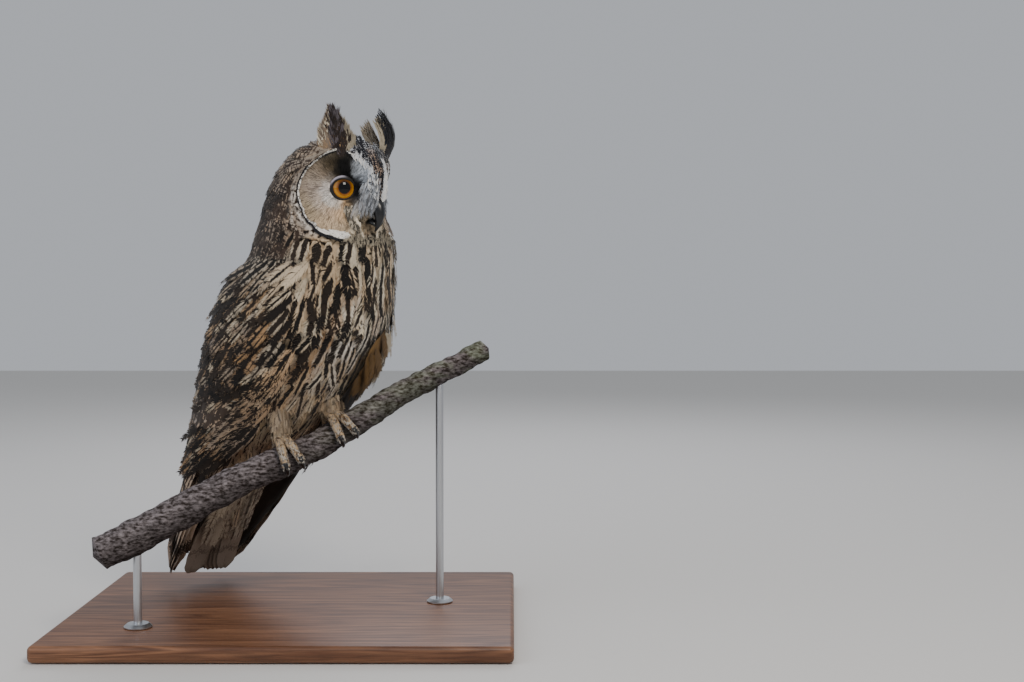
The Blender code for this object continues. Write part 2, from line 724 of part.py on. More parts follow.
def make_tail(torso):
    """A short root under the coverts, and the tail feathers fanned a little, the middle ones on top."""
    way = (TAIL_TIP - TAIL_ROOT).normalized()
    dorsal = Vector((0, way.z, -way.y))
    length = (TAIL_TIP - TAIL_ROOT).length
    rings = []
    for share, wide, deep in ((0, 1, 1), (0.14, 0.97, 0.78), (0.28, 0.88, 0.5), (0.38, 0.7, 0.28)):
        middle = TAIL_ROOT + way * (GAP + length * share)
        ring = []
        for k in range(20):
            turn = 2 * math.pi * k / 20
            out = dorsal * math.cos(turn) * TAIL_ROOT_HALF_DEPTH * deep
            ring.append(middle + out + Vector((math.sin(turn) * TAIL_ROOT_HALF_WIDTH * wide, 0, 0)))
        rings.append(ring)
    tail = add_object("tail", closed_rings(rings, "tail"), owl, bird)
    draw = random.Random(12)
    pieces = []
    for i in range(TAIL_FEATHERS):
        place = (i - (TAIL_FEATHERS - 1) / 2) / (TAIL_FEATHERS / 2)
        depth = (0.5 - abs(place)) * TAIL_LAYER * TAIL_FEATHERS / 2 + TAIL_LAYER / 2 * (place > 0)
        full = length * (1.0 - 0.05 * place * place) * draw.uniform(0.985, 1.0)
        rows = []
        for along, wide in TAIL_SHAPE:
            side_way = place * (TAIL_ROOT_SPREAD + (TAIL_TIP_SPREAD - TAIL_ROOT_SPREAD) * along)
            bend = TAIL_BOW * math.sin(math.pi * along)
            middle = TAIL_ROOT + way * full * along + dorsal * (depth + bend) + Vector((side_way, 0, 0))
            reach = Vector((TAIL_FEATHER_HALF_WIDTH * wide, 0, 0))
            rows.append(((middle - reach, middle + reach), dorsal))
        pieces.append(vane("tail_feather", rows, 0.0005))
    join_pieces(tail, pieces, "MANIFOLD")
    return finish(tail, "feather_tail")


def cut_plane(item, place, normal):
    """Removes what lies beyond a plane and closes the cut."""
    bm = bmesh.new()
    bm.from_mesh(item.data)
    geometry = bm.verts[:] + bm.edges[:] + bm.faces[:]
    found = bmesh.ops.bisect_plane(
        bm, geom=geometry, plane_co=place, plane_no=normal, clear_outer=True
    )
    edges = [part for part in found["geom_cut"] if isinstance(part, bmesh.types.BMEdge)]
    bmesh.ops.holes_fill(bm, edges=edges)
    bmesh.ops.recalc_face_normals(bm, faces=bm.faces)
    bm.to_mesh(item.data)
    bm.free()


def route_point(points, share):
    """A point, with its radius, on a smooth curve through a route's points."""
    spans = len(points) - 1
    place = min(max(share, 0.0), 1.0) * spans
    i = min(int(place), spans - 1)
    t = place - i
    a, b = points[max(i - 1, 0)], points[i]
    c, d = points[i + 1], points[min(i + 2, spans)]
    return [
        0.5
        * (
            2 * b[k]
            + (c[k] - a[k]) * t
            + (2 * a[k] - 5 * b[k] + 4 * c[k] - d[k]) * t * t
            + (3 * b[k] - a[k] - 3 * c[k] + d[k]) * t**3
        )
        for k in range(4)
    ]


def branch_at_x(x):
    """The branch's middle, direction and radius where it passes over a given x."""
    low, high = 0.0, 1.0
    for _ in range(40):
        share = (low + high) / 2
        if route_point(BRANCH_POINTS, share)[0] < x:
            low = share
        else:
            high = share
    here = route_point(BRANCH_POINTS, low)
    ahead = route_point(BRANCH_POINTS, min(low + 0.01, 1))
    behind = route_point(BRANCH_POINTS, max(low - 0.01, 0))
    along = (Vector(ahead[:3]) - Vector(behind[:3])).normalized()
    return Vector(here[:3]), along, here[3]


def make_perch():
    count = 27
    samples = [route_point(BRANCH_POINTS, i / count) for i in range(count + 1)]
    points = [Vector(sample[:3]) for sample in samples]
    radii = [sample[3] for sample in samples]
    return finish(tube("perch", points, radii), "bark")


def grip_point(middle, along, radius, turn, reach, shift):
    """A point round the branch, at an angle from its top towards the bird's front."""
    up = (Vector((0, 0, 1)) - along * along.z).normalized()
    front = along.cross(up)
    if front.y > 0:
        front = -front
    way = up * math.cos(turn) + front * math.sin(turn)
    return middle + along * shift + way * (radius + reach)


def make_foot(side, word, perch):
    """The foot grips with two toes ahead and two behind, and each toe ends in its own claw."""
    lean = -side * FOOT_SPACING / 2
    _, along, _ = branch_at_x(BIRD_X)
    middle, along, radius = branch_at_x(BIRD_X + along.x * lean)
    pad_at = grip_point(middle, along, radius, math.radians(2), TOE_RADIUS * 1.1, 0)
    foot = ball("foot_" + word, Vector((0, 0, 0)), 0.0068, 12, 8)
    foot.parent = None
    foot.data.transform(Matrix.Translation(pad_at))
    toes = []
    claws = []
    for number, (way, shift) in enumerate(((1, -1), (1, 1), (-1, -1), (-1, 1)), 1):
        toe_points = []
        toe_radii = []
        for k in range(6):
            share = k / 5
            turn = way * math.radians(6 + 92 * share)
            spread = shift * TOE_SPREAD * (0.35 + 0.75 * share)
            thick = TOE_RADIUS * (1 - 0.2 * share + 0.06 * math.sin(share * 15))
            toe_points.append(grip_point(middle, along, radius, turn, thick + GAP, spread))
            toe_radii.append(thick)
        toes.append(tube("toe", toe_points, toe_radii, None, 1))
        claw_points = []
        claw_radii = []
        for k in range(6):
            share = k / 5
            turn = way * math.radians(92 + 52 * share)
            spread = shift * TOE_SPREAD * (1.08 + 0.1 * share)
            reach = 0.0050 - 0.0042 * share * share
            claw_points.append(grip_point(middle, along, radius, turn, reach, spread))
            claw_radii.append(CLAW_RADIUS * (1 - 0.82 * share))
        claw = tube(f"claw_{word}_{number}", claw_points, claw_radii, None, 1)
        claws.append(claw)
    join_pieces(foot, toes)
    carve(foot, perch)
    for claw in claws:
        carve(claw, foot)
        carve(claw, perch)
        finish(claw, "horn")
    finish(foot, "feather_foot")
    return foot, pad_at


def make_leg(side, word, foot, pad_at, torso):
    """The short feathered leg, from under the belly down to the top of the foot."""
    low = bird.matrix_world.inverted() @ pad_at
    high = Vector((side * 0.0235, low.y * 0.25 - 0.012, 0.187))
    points = [low + (high - low) * share for share in (0.0, 0.3, 0.6, 1.0)]
    radii = (0.0058, 0.0066, 0.0085, 0.0120)
    leg = tube("leg_" + word, points, radii, bird, 2)
    carve(leg, torso)
    carve(leg, foot)
    return finish(leg, "feather_foot")


def make_stand(perch):
    bm = bmesh.new()
    bmesh.ops.create_cube(bm, size=1)
    bmesh.ops.scale(bm, vec=(BASE_LENGTH, BASE_DEPTH, BASE_THICKNESS), verts=bm.verts)
    bmesh.ops.translate(bm, vec=(0, 0, BASE_THICKNESS / 2), verts=bm.verts)
    base = add_object("stand_base", mesh_from(bm, "stand_base"), owl)
    step = base.modifiers.new("edge", "BEVEL")
    step.width = BASE_EDGE
    step.segments = 3
    finish(base, "dark_wood", 30)
    for x, word in zip(ROD_AT, ("left", "right")):
        middle, _, radius = branch_at_x(x)
        foot_at = Vector((middle.x, middle.y, BASE_THICKNESS + GAP))
        flange_top = foot_at + Vector((0, 0, ROD_FOOT_HEIGHT))
        rod = cone("stand_rod_" + word, foot_at, middle, ROD_RADIUS, ROD_RADIUS, 18)
        flange = cone("flange", foot_at, flange_top, ROD_FOOT_RADIUS, ROD_FOOT_RADIUS * 0.8, 18)
        boolean(rod, flange, "UNION")
        bpy.data.objects.remove(flange, do_unlink=True)
        carve(rod, perch)
        finish(rod, "steel", 30)


clear_scene()
owl = make_collection("long_eared_owl")
cutters = make_collection("cutters")
bird = bpy.data.objects.new("bird_frame", None)
owl.objects.link(bird)
bird.location = (BIRD_X, BIRD_Y, 0)
bird.rotation_euler = (0, 0, BIRD_TURN)
bpy.context.view_layer.update()

head_form = make_head()
make_bill(head_form)
neck = finish(body_part("neck", NECK_TOP - GAP, NECK_BOTTOM, 0.0065, 28), "feather_breast")
torso = body_part("torso", NECK_BOTTOM - GAP, 0.0885, 0.0110, 28)
tail_way = (TAIL_TIP - TAIL_ROOT).normalized()
cut_plane(torso, TAIL_ROOT, tail_way)
finish(torso, "feather_breast")
make_tail(torso)
perch = make_perch()
for side, word in ((1, "right"), (-1, "left")):
    make_ear_tuft(side, word, head_form)
    make_wing(side, word)
    foot, pad_at = make_foot(side, word, perch)
    make_leg(side, word, foot, pad_at, torso)
make_stand(perch)
bpy.data.objects.remove(head_form, do_unlink=True)
bpy.data.collections.remove(cutters)
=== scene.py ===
import json
import math

import bpy
import numpy as np
from mathutils import Matrix, Vector

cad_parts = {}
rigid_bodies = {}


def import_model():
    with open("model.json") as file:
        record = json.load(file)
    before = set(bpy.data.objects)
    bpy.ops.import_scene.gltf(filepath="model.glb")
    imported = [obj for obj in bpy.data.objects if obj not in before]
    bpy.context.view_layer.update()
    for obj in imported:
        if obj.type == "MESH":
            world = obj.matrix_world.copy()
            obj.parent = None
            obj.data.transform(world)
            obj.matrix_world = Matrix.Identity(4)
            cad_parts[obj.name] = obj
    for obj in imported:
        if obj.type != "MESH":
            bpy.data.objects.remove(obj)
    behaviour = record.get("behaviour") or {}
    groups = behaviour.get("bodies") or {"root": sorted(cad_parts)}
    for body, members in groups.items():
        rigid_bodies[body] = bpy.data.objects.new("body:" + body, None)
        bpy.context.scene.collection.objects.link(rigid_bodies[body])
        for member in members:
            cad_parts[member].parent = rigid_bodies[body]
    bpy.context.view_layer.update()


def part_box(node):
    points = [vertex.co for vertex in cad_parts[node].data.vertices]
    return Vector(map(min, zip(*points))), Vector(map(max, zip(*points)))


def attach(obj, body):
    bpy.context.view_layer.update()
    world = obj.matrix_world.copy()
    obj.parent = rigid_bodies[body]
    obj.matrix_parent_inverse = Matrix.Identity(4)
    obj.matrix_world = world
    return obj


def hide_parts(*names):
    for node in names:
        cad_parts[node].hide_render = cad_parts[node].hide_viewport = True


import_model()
scene = bpy.context.scene
draw = np.random.default_rng(11)

# The owl is drawn in its own frame, x to its right, y ahead, z up, over the middle of its feet.
owlPlace = dict(x=0.0177, y=-0.028, turn=-135, headTurn=5, headAhead=0.0198)
owlMatrix = Matrix.Translation((owlPlace["x"], owlPlace["y"], 0)) @ Matrix.Rotation(
    math.radians(owlPlace["turn"]), 4, "Z")

# height, middle ahead of the feet, half width, half depth
bodyRows = np.array([
    (0.3605, 0.0370, 0.0010, 0.0010), (0.3585, 0.0360, 0.0150, 0.0150),
    (0.3525, 0.0325, 0.0300, 0.0300), (0.3454, 0.0295, 0.0368, 0.0368),
    (0.3385, 0.0262, 0.0409, 0.0409), (0.3287, 0.0215, 0.0437, 0.0437),
    (0.3188, 0.0186, 0.0455, 0.0455), (0.3087, 0.0166, 0.0470, 0.0470),
    (0.3001, 0.0147, 0.0485, 0.0485), (0.2878, 0.0125, 0.0506, 0.0506),
    (0.2784, 0.0100, 0.0530, 0.0530), (0.2689, 0.0046, 0.0558, 0.0565),
    (0.2587, 0.0005, 0.0578, 0.0592), (0.2461, -0.0045, 0.0594, 0.0610),
    (0.2327, -0.0090, 0.0605, 0.0616), (0.2222, -0.0150, 0.0610, 0.0618),
    (0.2101, -0.0220, 0.0610, 0.0600), (0.1972, -0.0300, 0.0600, 0.0572),
    (0.1856, -0.0375, 0.0580, 0.0545), (0.1718, -0.0470, 0.0550, 0.0520),
    (0.1590, -0.0555, 0.0515, 0.0485), (0.1450, -0.0655, 0.0460, 0.0420),
    (0.1300, -0.0770, 0.0390, 0.0340), (0.1150, -0.0880, 0.0320, 0.0250),
    (0.1000, -0.0990, 0.0250, 0.0160), (0.0880, -0.1070, 0.0120, 0.0070)])
wingRows = np.array([
    (0.2760, 0.0090, 0.0535, 0.0535), (0.2689, 0.0046, 0.0575, 0.0575),
    (0.2587, -0.0010, 0.0610, 0.0610), (0.2461, -0.0069, 0.0645, 0.0645),
    (0.2327, -0.0111, 0.0669, 0.0669), (0.2222, -0.0150, 0.0680, 0.0680),
    (0.2101, -0.0205, 0.0680, 0.0680), (0.1972, -0.0268, 0.0672, 0.0672),
    (0.1856, -0.0350, 0.0650, 0.0650), (0.1707, -0.0460, 0.0612, 0.0600),
    (0.1602, -0.0540, 0.0590, 0.0560), (0.1375, -0.0690, 0.0555, 0.0480),
    (0.1133, -0.0855, 0.0515, 0.0395), (0.0885, -0.1050, 0.0470, 0.0290),
    (0.0625, -0.1265, 0.0395, 0.0195), (0.0348, -0.1500, 0.0305, 0.0100),
    (0.0200, -0.1610, 0.0260, 0.0070)])
face = dict(height=0.3195, ridgeProud=0.0072, ridgeAngle=11.0, discAngle=40.5, discHalfAngle=35.0,
            discHalfHeight=0.0325, discDepth=0.0066, lip=0.0016, chinHeight=0.2950, chinDepth=0.0045)
# the rim of the facial disc: turn round its middle in degrees, reach as a share of the disc
rimTurn = np.array([-180, -150, -114, -94.5, -59.5, -22.9, 4.7, 31.7, 67.4, 95, 114, 150, 180])
rimReach = np.array([1.12, 1.15, 1.09, 0.91, 0.77, 0.80, 0.93, 1.00, 0.97, 0.92, 0.91, 1.05, 1.12])


def smooth(low, high, value):
    # an S-shaped step from 0 at low to 1 at high
    share = np.clip((value - low) / (high - low), 0, 1)
    return share * share * (3 - 2 * share)


def unit(vectors):
    return vectors / np.maximum(np.linalg.norm(vectors, axis=-1, keepdims=True), 1e-9)


def columns(*values):
    # values side by side as points or colours, each single one repeated for all of them
    return np.stack(np.broadcast_arrays(*values), axis=-1)


def section(rows, height):
    heights = rows[::-1, 0]
    return [np.interp(height, heights, rows[::-1, k]) for k in (1, 2, 3)]


def discReach(degrees, height):
    # how far out on the facial disc a place is, 1 at its moulded edge, and the turn round its middle
    across = (np.abs(degrees) - face["discAngle"]) / face["discHalfAngle"]
    up = (height - face["height"]) / face["discHalfHeight"]
    return np.hypot(across, up), np.degrees(np.arctan2(up, across))


def rimShare(degrees, height):
    # the same, but 1 on the drawn rim
    reach, turn = discReach(degrees, height)
    return reach / np.interp(turn, rimTurn, rimReach)


def faceRelief(degrees, height):
    off = np.abs(degrees)
    fade = smooth(0.298, 0.312, height) * (1 - smooth(0.330, 0.352, height))
    ridge = face["ridgeProud"] * fade * np.exp(-((off / face["ridgeAngle"]) ** 2))
    reach, _ = discReach(degrees, height)
    dish = face["discDepth"] * np.maximum(0, 1 - reach ** 2.4)
    lip = face["lip"] * np.exp(-(((reach - 1.02) / 0.075) ** 2))
    chin = face["chinDepth"] * np.exp(-((off / 17) ** 2) - ((height - face["chinHeight"]) / 0.008) ** 2)
    return ridge + lip - dish - chin


def bodySpot(degrees, height, lift=0.0, relief=1.0):
    # a place on the head or body, by its angle from straight ahead of the face and its height
    middle, halfWidth, halfDepth = section(bodyRows, height)
    proud = faceRelief(degrees, height) * relief + lift
    turn = np.radians(degrees - owlPlace["headTurn"])
    return columns(np.sin(turn) * (halfWidth + proud), middle + np.cos(turn) * (halfDepth + proud), height)


def wingSpot(side, degrees, height, lift=0.0):
    # a place on a folded wing, side 1 for the right one, lifted straight off its form
    middle, halfWidth, halfDepth = section(wingRows, height)
    turn = np.radians(degrees)
    out = unit(columns(np.sin(turn) / halfWidth, np.cos(turn) / halfDepth))
    x = halfWidth * np.sin(turn) + out[..., 0] * lift
    y = middle + halfDepth * np.cos(turn) + out[..., 1] * lift
    return columns(side * x, y, height)


def bodyFrame(degrees, height, lift=0.0, relief=1.0, ahead=0.0006):
    # place, outward way, and the ways down and round the skin, as it runs on for a way ahead
    here = bodySpot(degrees, height, lift)
    along = bodySpot(degrees + 0.6, height, lift, relief) - bodySpot(degrees - 0.6, height, lift, relief)
    down = bodySpot(degrees, height - ahead, lift, relief) - bodySpot(degrees, height + 0.0006, lift, relief)
    return here, unit(np.cross(along, down)), unit(down), unit(along)


def linear(hexValue):
    # sRGB hex to the linear values that Blender mixes
    parts = [int(hexValue[i:i + 2], 16) / 255 for i in (0, 2, 4)]
    return np.array([p / 12.92 if p <= 0.04045 else ((p + 0.055) / 1.055) ** 2.4 for p in parts])


def blend(under, over, share):
    return under + (over - under) * np.clip(share, 0, 1)[..., None]


def patches(place, size, seed):
    # soft patchy noise from 0 to 1, a few sines of a given size in metres added up
    pick = np.random.default_rng(seed)
    total = np.zeros(len(place))
    for _ in range(7):
        way = unit(pick.normal(size=3)) * 2 * math.pi / (size * pick.uniform(0.7, 1.6))
        total = total + np.sin(place @ way + pick.uniform(0, 7))
    return 0.5 + 0.5 * np.clip(total / 3.2, -1, 1)


def addNode(tree, kind, settings=None, inputs=None):
    # one node with its settings, and a value, a hex colour or another node's socket for each input
    node = tree.nodes.new(kind)
    for name, value in (settings or {}).items():
        setattr(node, name, value)
    for name, value in (inputs or {}).items():
        socket = node.inputs[name]
        if isinstance(value, bpy.types.NodeSocket):
            tree.links.new(value, socket)
        else:
            socket.default_value = (*linear(value), 1) if socket.type == "RGBA" else value
    return node


def newMaterial(name, roughness, settings=None):
    made = bpy.data.materials.new(name)
    made.use_nodes = True
    shader = made.node_tree.nodes["Principled BSDF"]
    shader.inputs["Roughness"].default_value = roughness
    for socket, value in (settings or {}).items():
        shader.inputs[socket].default_value = value
    return made, made.node_tree, shader


def newPiece(name, places, faces, uvs=None, colours=None, vectors=None, finish=None):
    # a mesh in the owl's frame, with corner UV maps and point attributes by name
    mesh = bpy.data.meshes.new(name)
    mesh.from_pydata([tuple(p) for p in places], [], faces)
    corners = np.zeros(len(mesh.loops), int)
    mesh.loops.foreach_get("vertex_index", corners)
    for key, value in (uvs or {}).items():
        layer = mesh.uv_layers.new(name=key)
        layer.data.foreach_set("uv", np.asarray(value, float)[corners].ravel())
    for key, value in (colours or {}).items():
        layer = mesh.attributes.new(key, "FLOAT_COLOR", "POINT")
        layer.data.foreach_set("color", np.concatenate([value, np.ones((len(value), 1))], axis=1).ravel())
    for key, value in (vectors or {}).items():
        layer = mesh.attributes.new(key, "FLOAT_VECTOR", "POINT")
        layer.data.foreach_set("vector", np.asarray(value, float).ravel())
    mesh.update()
    mesh.shade_smooth()
    if finish:
        mesh.materials.append(finish)
    piece = bpy.data.objects.new(name, mesh)
    scene.collection.objects.link(piece)
    return piece


def settle(piece, replaced, inOwl=True):
    # the piece moves from the owl's frame to the model's and takes the place of its CAD nodes
    if inOwl:
        piece.data.transform(owlMatrix)
    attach(piece, "root")
    if replaced:
        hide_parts(*replaced)


# Feather templates, one unit long and wide. Coats set them on their roots and stretch them.
plumes = bpy.data.collections.new("plumes")
wisps = bpy.data.collections.new("wisps")
for store in (plumes, wisps):
    scene.collection.children.link(store)


def blade(places, faces, spots, halfWidths):
    # a flat tapered strip through some spots that ends in a point
    first = len(places)
    spots = np.asarray(spots, float)
    for i, half in enumerate(halfWidths):
        run = spots[min(i + 1, len(spots) - 1)] - spots[max(i - 1, 0)]
        side = unit(np.array([run[1], -run[0], 0.0])) * half
        places += [spots[i] - side, spots[i] + side]
    places.append(spots[-1])
    for a in range(first, first + 2 * len(halfWidths) - 2, 2):
        faces.append((a, a + 1, a + 3, a + 2))
    last = first + 2 * len(halfWidths)
    faces.append((last - 2, last - 1, last))


def addTemplate(name, places, faces, store):
    piece = newPiece(name, places, faces, uvs={"Vane": np.array(places)[:, :2] + [0.5, 0]})
    scene.collection.objects.unlink(piece)
    store.objects.link(piece)
    piece.hide_render = True


plumeShape = dict(kinds=5, barbs=15, leanRoot=0.30, leanTip=0.11, barbWidth=0.036, rise=0.20, fall=-0.09,
                  cup=0.13, looseness=0.018)
wispShape = dict(kinds=5, blades=4, halfWidth=0.10, rise=0.30, fall=-0.22)


def plumeHeight(x, y, more=0.0):
    return plumeShape["rise"] * y + plumeShape["fall"] * y * y - plumeShape["cup"] * x * x + more


def addPlume(kind):
    # a soft feather: bent barbs on both sides of a shaft
    pick = np.random.default_rng(40 + kind)
    places, faces = [], []
    for side in (-1, 1):
        for i in range(plumeShape["barbs"]):
            t = (i + pick.uniform(0.2, 0.8)) / plumeShape["barbs"] * 0.88
            wide = 0.5 * math.sqrt(max(0.0, 1 - ((t - 0.42) / 0.60) ** 2)) * pick.uniform(0.84, 1.06)
            lean = plumeShape["leanRoot"] + (plumeShape["leanTip"] - plumeShape["leanRoot"]) * t
            end = (side * wide * (1.0 - 0.35 * t * t), t + lean * pick.uniform(0.85, 1.2))
            loose = pick.normal(0, plumeShape["looseness"])
            middle = (end[0] * 0.62, t + (end[1] - t) * 0.42)
            spots = [(0, t, plumeHeight(0, t)), (*middle, plumeHeight(*middle, loose * 0.6)),
                     (*end, plumeHeight(*end, loose))]
            blade(places, faces, spots, (plumeShape["barbWidth"], plumeShape["barbWidth"] * 0.8))
    addTemplate(f"plume_{kind}", places, faces, plumes)


def addWisp(kind):
    # a small tuft of narrow blades that part towards their tips
    pick = np.random.default_rng(70 + kind)
    places, faces = [], []
    for i in range(wispShape["blades"]):
        tip = (-0.42 + 0.28 * i + pick.uniform(-0.08, 0.08), pick.uniform(0.78, 1.05))
        spots = []
        for share in (0.0, 0.5, 1.0):
            y = tip[1] * share
            spots.append((tip[0] * share ** 1.3 + 0.06 * (i - 1.5) * (1 - share), y,
                          wispShape["rise"] * y + wispShape["fall"] * y * y + pick.normal(0, 0.012)))
        blade(places, faces, spots, (wispShape["halfWidth"], wispShape["halfWidth"] * 0.85))
    addTemplate(f"wisp_{kind}", places, faces, wisps)


for kind in range(plumeShape["kinds"]):
    addPlume(kind)
for kind in range(wispShape["kinds"]):
    addWisp(kind)


def coatTree(name, store, kinds):
    # sets one template on each root, turned by its own outward and lie directions
    tree = bpy.data.node_groups.new(name, "GeometryNodeTree")
    tree.interface.new_socket("Roots", in_out="INPUT", socket_type="NodeSocketGeometry")
    for label in ("Width", "Length", "Rise"):
        tree.interface.new_socket(label, in_out="INPUT", socket_type="NodeSocketFloat").default_value = 1.0
    tree.interface.new_socket("Seed", in_out="INPUT", socket_type="NodeSocketInt")
    tree.interface.new_socket("Finish", in_out="INPUT", socket_type="NodeSocketMaterial")
    tree.interface.new_socket("Coat", in_out="OUTPUT", socket_type="NodeSocketGeometry")
    given = addNode(tree, "NodeGroupInput").outputs
    out, lie, size = (addNode(tree, "GeometryNodeInputNamedAttribute", {"data_type": "FLOAT_VECTOR"},
                              {"Name": key}).outputs["Attribute"] for key in ("out", "lie", "size"))
    turn = addNode(tree, "FunctionNodeAxesToRotation", {"primary_axis": "Z", "secondary_axis": "Y"},
                   {"Primary Axis": out, "Secondary Axis": lie})
    stretch = addNode(tree, "ShaderNodeCombineXYZ", None,
                      {"X": given["Width"], "Y": given["Length"], "Z": given["Rise"]})
    scale = addNode(tree, "ShaderNodeVectorMath", {"operation": "MULTIPLY"}, {
        0: size, 1: stretch.outputs["Vector"]})
    pick = addNode(tree, "FunctionNodeRandomValue", {"data_type": "INT"}, {"Seed": given["Seed"]})
    least, most = (s for s in pick.inputs if s.type == "INT" and s.name in ("Min", "Max"))
    least.default_value = 0
    most.default_value = kinds - 1
    forms = addNode(tree, "GeometryNodeCollectionInfo", None,
                    {"Collection": store, "Separate Children": True, "Reset Children": True})
    number = [s for s in pick.outputs if s.type == "INT"][0]
    sown = addNode(tree, "GeometryNodeInstanceOnPoints", None, {
        "Points": given["Roots"], "Instance": forms.outputs["Instances"], "Pick Instance": True,
        "Instance Index": number, "Rotation": turn.outputs["Rotation"], "Scale": scale.outputs["Vector"]})
    whole = addNode(tree, "GeometryNodeRealizeInstances", None, {"Geometry": sown.outputs["Instances"]})
    done = addNode(tree, "GeometryNodeSetMaterial", None,
                   {"Geometry": whole.outputs["Geometry"], "Material": given["Finish"]})
    addNode(tree, "NodeGroupOutput", None, {"Coat": done.outputs["Geometry"]})
    return tree


trees = {"plumes": coatTree("Feathers on roots", plumes, plumeShape["kinds"]),
         "wisps": coatTree("Wisps on roots", wisps, wispShape["kinds"])}
patchSize = 0.003  # how wide each feather's patch is on the skin's unwrap


def growCoat(name, roots, kind, coat):
    # one feather on each root, by the tree of its kind and the coat's own seed and rise
    base = newPiece(name + "_roots", roots["place"], [], colours={k: roots[k] for k in ("pale", "dark")},
                    vectors={k: roots[k] for k in ("out", "lie", "size", "marks", "rootUv")})
    step = base.modifiers.new("coat", "NODES")
    step.node_group = trees[kind]
    given = {"Rise": coat.get("rise", 1.0), "Seed": coat["seed"], "Finish": softFeather}
    for item in trees[kind].interface.items_tree:
        if item.in_out == "INPUT" and item.name in given:
            step[item.identifier] = given[item.name]
    bpy.context.view_layer.update()
    made = base.evaluated_get(bpy.context.evaluated_depsgraph_get())
    mesh = bpy.data.meshes.new_from_object(made, depsgraph=bpy.context.evaluated_depsgraph_get())
    bpy.data.objects.remove(base, do_unlink=True)
    piece = bpy.data.objects.new(name, mesh)
    mesh.name = name
    scene.collection.objects.link(piece)
    bakePatch(mesh)
    settle(piece, ())
    triangles = sum(len(polygon.vertices) - 2 for polygon in mesh.polygons)
    print(f"{name}: {len(roots['place'])} feathers, {triangles} triangles")


def bakePatch(mesh):
    # each feather is one small patch at its root's place on the skin's own unwrap
    corners = np.zeros(len(mesh.loops), int)
    mesh.loops.foreach_get("vertex_index", corners)
    root = np.zeros(len(mesh.vertices) * 3)
    mesh.attributes["rootUv"].data.foreach_get("vector", root)
    vane = np.zeros(len(corners) * 2)
    mesh.uv_layers["Vane"].data.foreach_get("uv", vane)
    patch = root.reshape(-1, 3)[corners][:, :2] + (np.clip(vane.reshape(-1, 2), 0, 1) - 0.5) * patchSize
    mesh.uv_layers.new(name="OFBake").data.foreach_set("uv", patch.ravel())
    for key in ("out", "lie", "size", "rootUv"):
        mesh.attributes.remove(mesh.attributes[key])


def skinUv(degrees, height):
    # the unwrap of the skin: round the body across, and down it from the crown
    return columns(0.5 + 0.46 * degrees / 190.0, 0.98 - (0.3605 - height) / 0.2725 * 0.74, 0.0)


def rootSet(place, out, lie, size, colours, rootUv):
    # what growCoat needs of each feather, and a pale or dark colour or marks given once hold for all
    pale, dark, marks = (np.broadcast_to(value, place.shape) for value in colours)
    return dict(place=place, out=out, lie=lie, size=size, pale=pale, dark=dark, marks=marks, rootUv=rootUv)


def swayed(lie, out, shake):
    # the lie directions, turned a little to either side
    return unit(lie + np.cross(out, lie) * draw.normal(0, shake, len(lie))[:, None])


def sheathRoots(degrees, height, depth, size, colours, flow=None, shake=0.12, relief=1.0, ahead=0.0006):
    # roots on the head or body, lying down it unless another flow is given
    place, out, down, along = bodyFrame(degrees, height, -depth, relief, ahead)
    lie = down if flow is None else flow(place, out, down, along)
    lie = unit(lie - out * np.sum(lie * out, axis=1, keepdims=True))
    return rootSet(place, out, swayed(lie, out, shake), size, colours, skinUv(degrees, height))


def joined(parts):
    return {key: np.concatenate([part[key] for part in parts]) for key in parts[0]}


def layRows(top, bottom, coat, reach=(-180, 180), shake=0.35):
    # places in offset rows round the body, loosened a little
    angles, heights = [], []
    height, row = top, 0
    while height > bottom:
        _, wide, deep = section(bodyRows, height)
        radius = (wide + deep) / 2
        count = max(3, int(math.radians(reach[1] - reach[0]) * radius / coat["across"]))
        spread = (np.arange(count) + 0.5 * (row % 2) + draw.uniform(-shake, shake, count)) / count
        angles.append(reach[0] + (reach[1] - reach[0]) * spread)
        heights.append(height + draw.uniform(-shake, shake, count) * coat["rows"])
        height -= coat["rows"]
        row += 1
    return np.concatenate(angles), np.clip(np.concatenate(heights), 0.0885, 0.3602)


def sizes(count, width, length, spread=0.12):
    # width, length and height of each feather
    wide, long = draw.uniform(1 - spread, 1 + spread, (count, 2)).T
    return columns(width * wide, length * long, length * long)


# The head's own plane: to its right, ahead and up
eyeShape = dict(aside=0.0148, ahead=0.0288, height=0.3241, radius=0.0095, outward=33, lowered=3, pupil=26.0,
                lidInner=53.5, lidReach=0.0106, rings=40, around=64)


def headSpot(aside, ahead, height):
    turn = math.radians(owlPlace["headTurn"])
    return np.array([aside * math.cos(turn) - ahead * math.sin(turn),
                     owlPlace["headAhead"] + ahead * math.cos(turn) + aside * math.sin(turn), height])


def eyePlace(side):
    # the eye's middle and the way that it looks
    outward, lowered = math.radians(eyeShape["outward"]), math.radians(eyeShape["lowered"])
    look = headSpot(side * math.sin(outward) * math.cos(lowered), math.cos(outward) * math.cos(lowered),
                    -math.sin(lowered)) - headSpot(0, 0, 0)
    return headSpot(side * eyeShape["aside"], eyeShape["ahead"], eyeShape["height"]), look


def nearSide(place):
    # 1 for places on the right half of the head and -1 on the left
    turn = math.radians(owlPlace["headTurn"])
    aside = place[:, 0] * math.cos(turn) + (place[:, 1] - owlPlace["headAhead"]) * math.sin(turn)
    return np.where(aside >= 0, 1, -1)


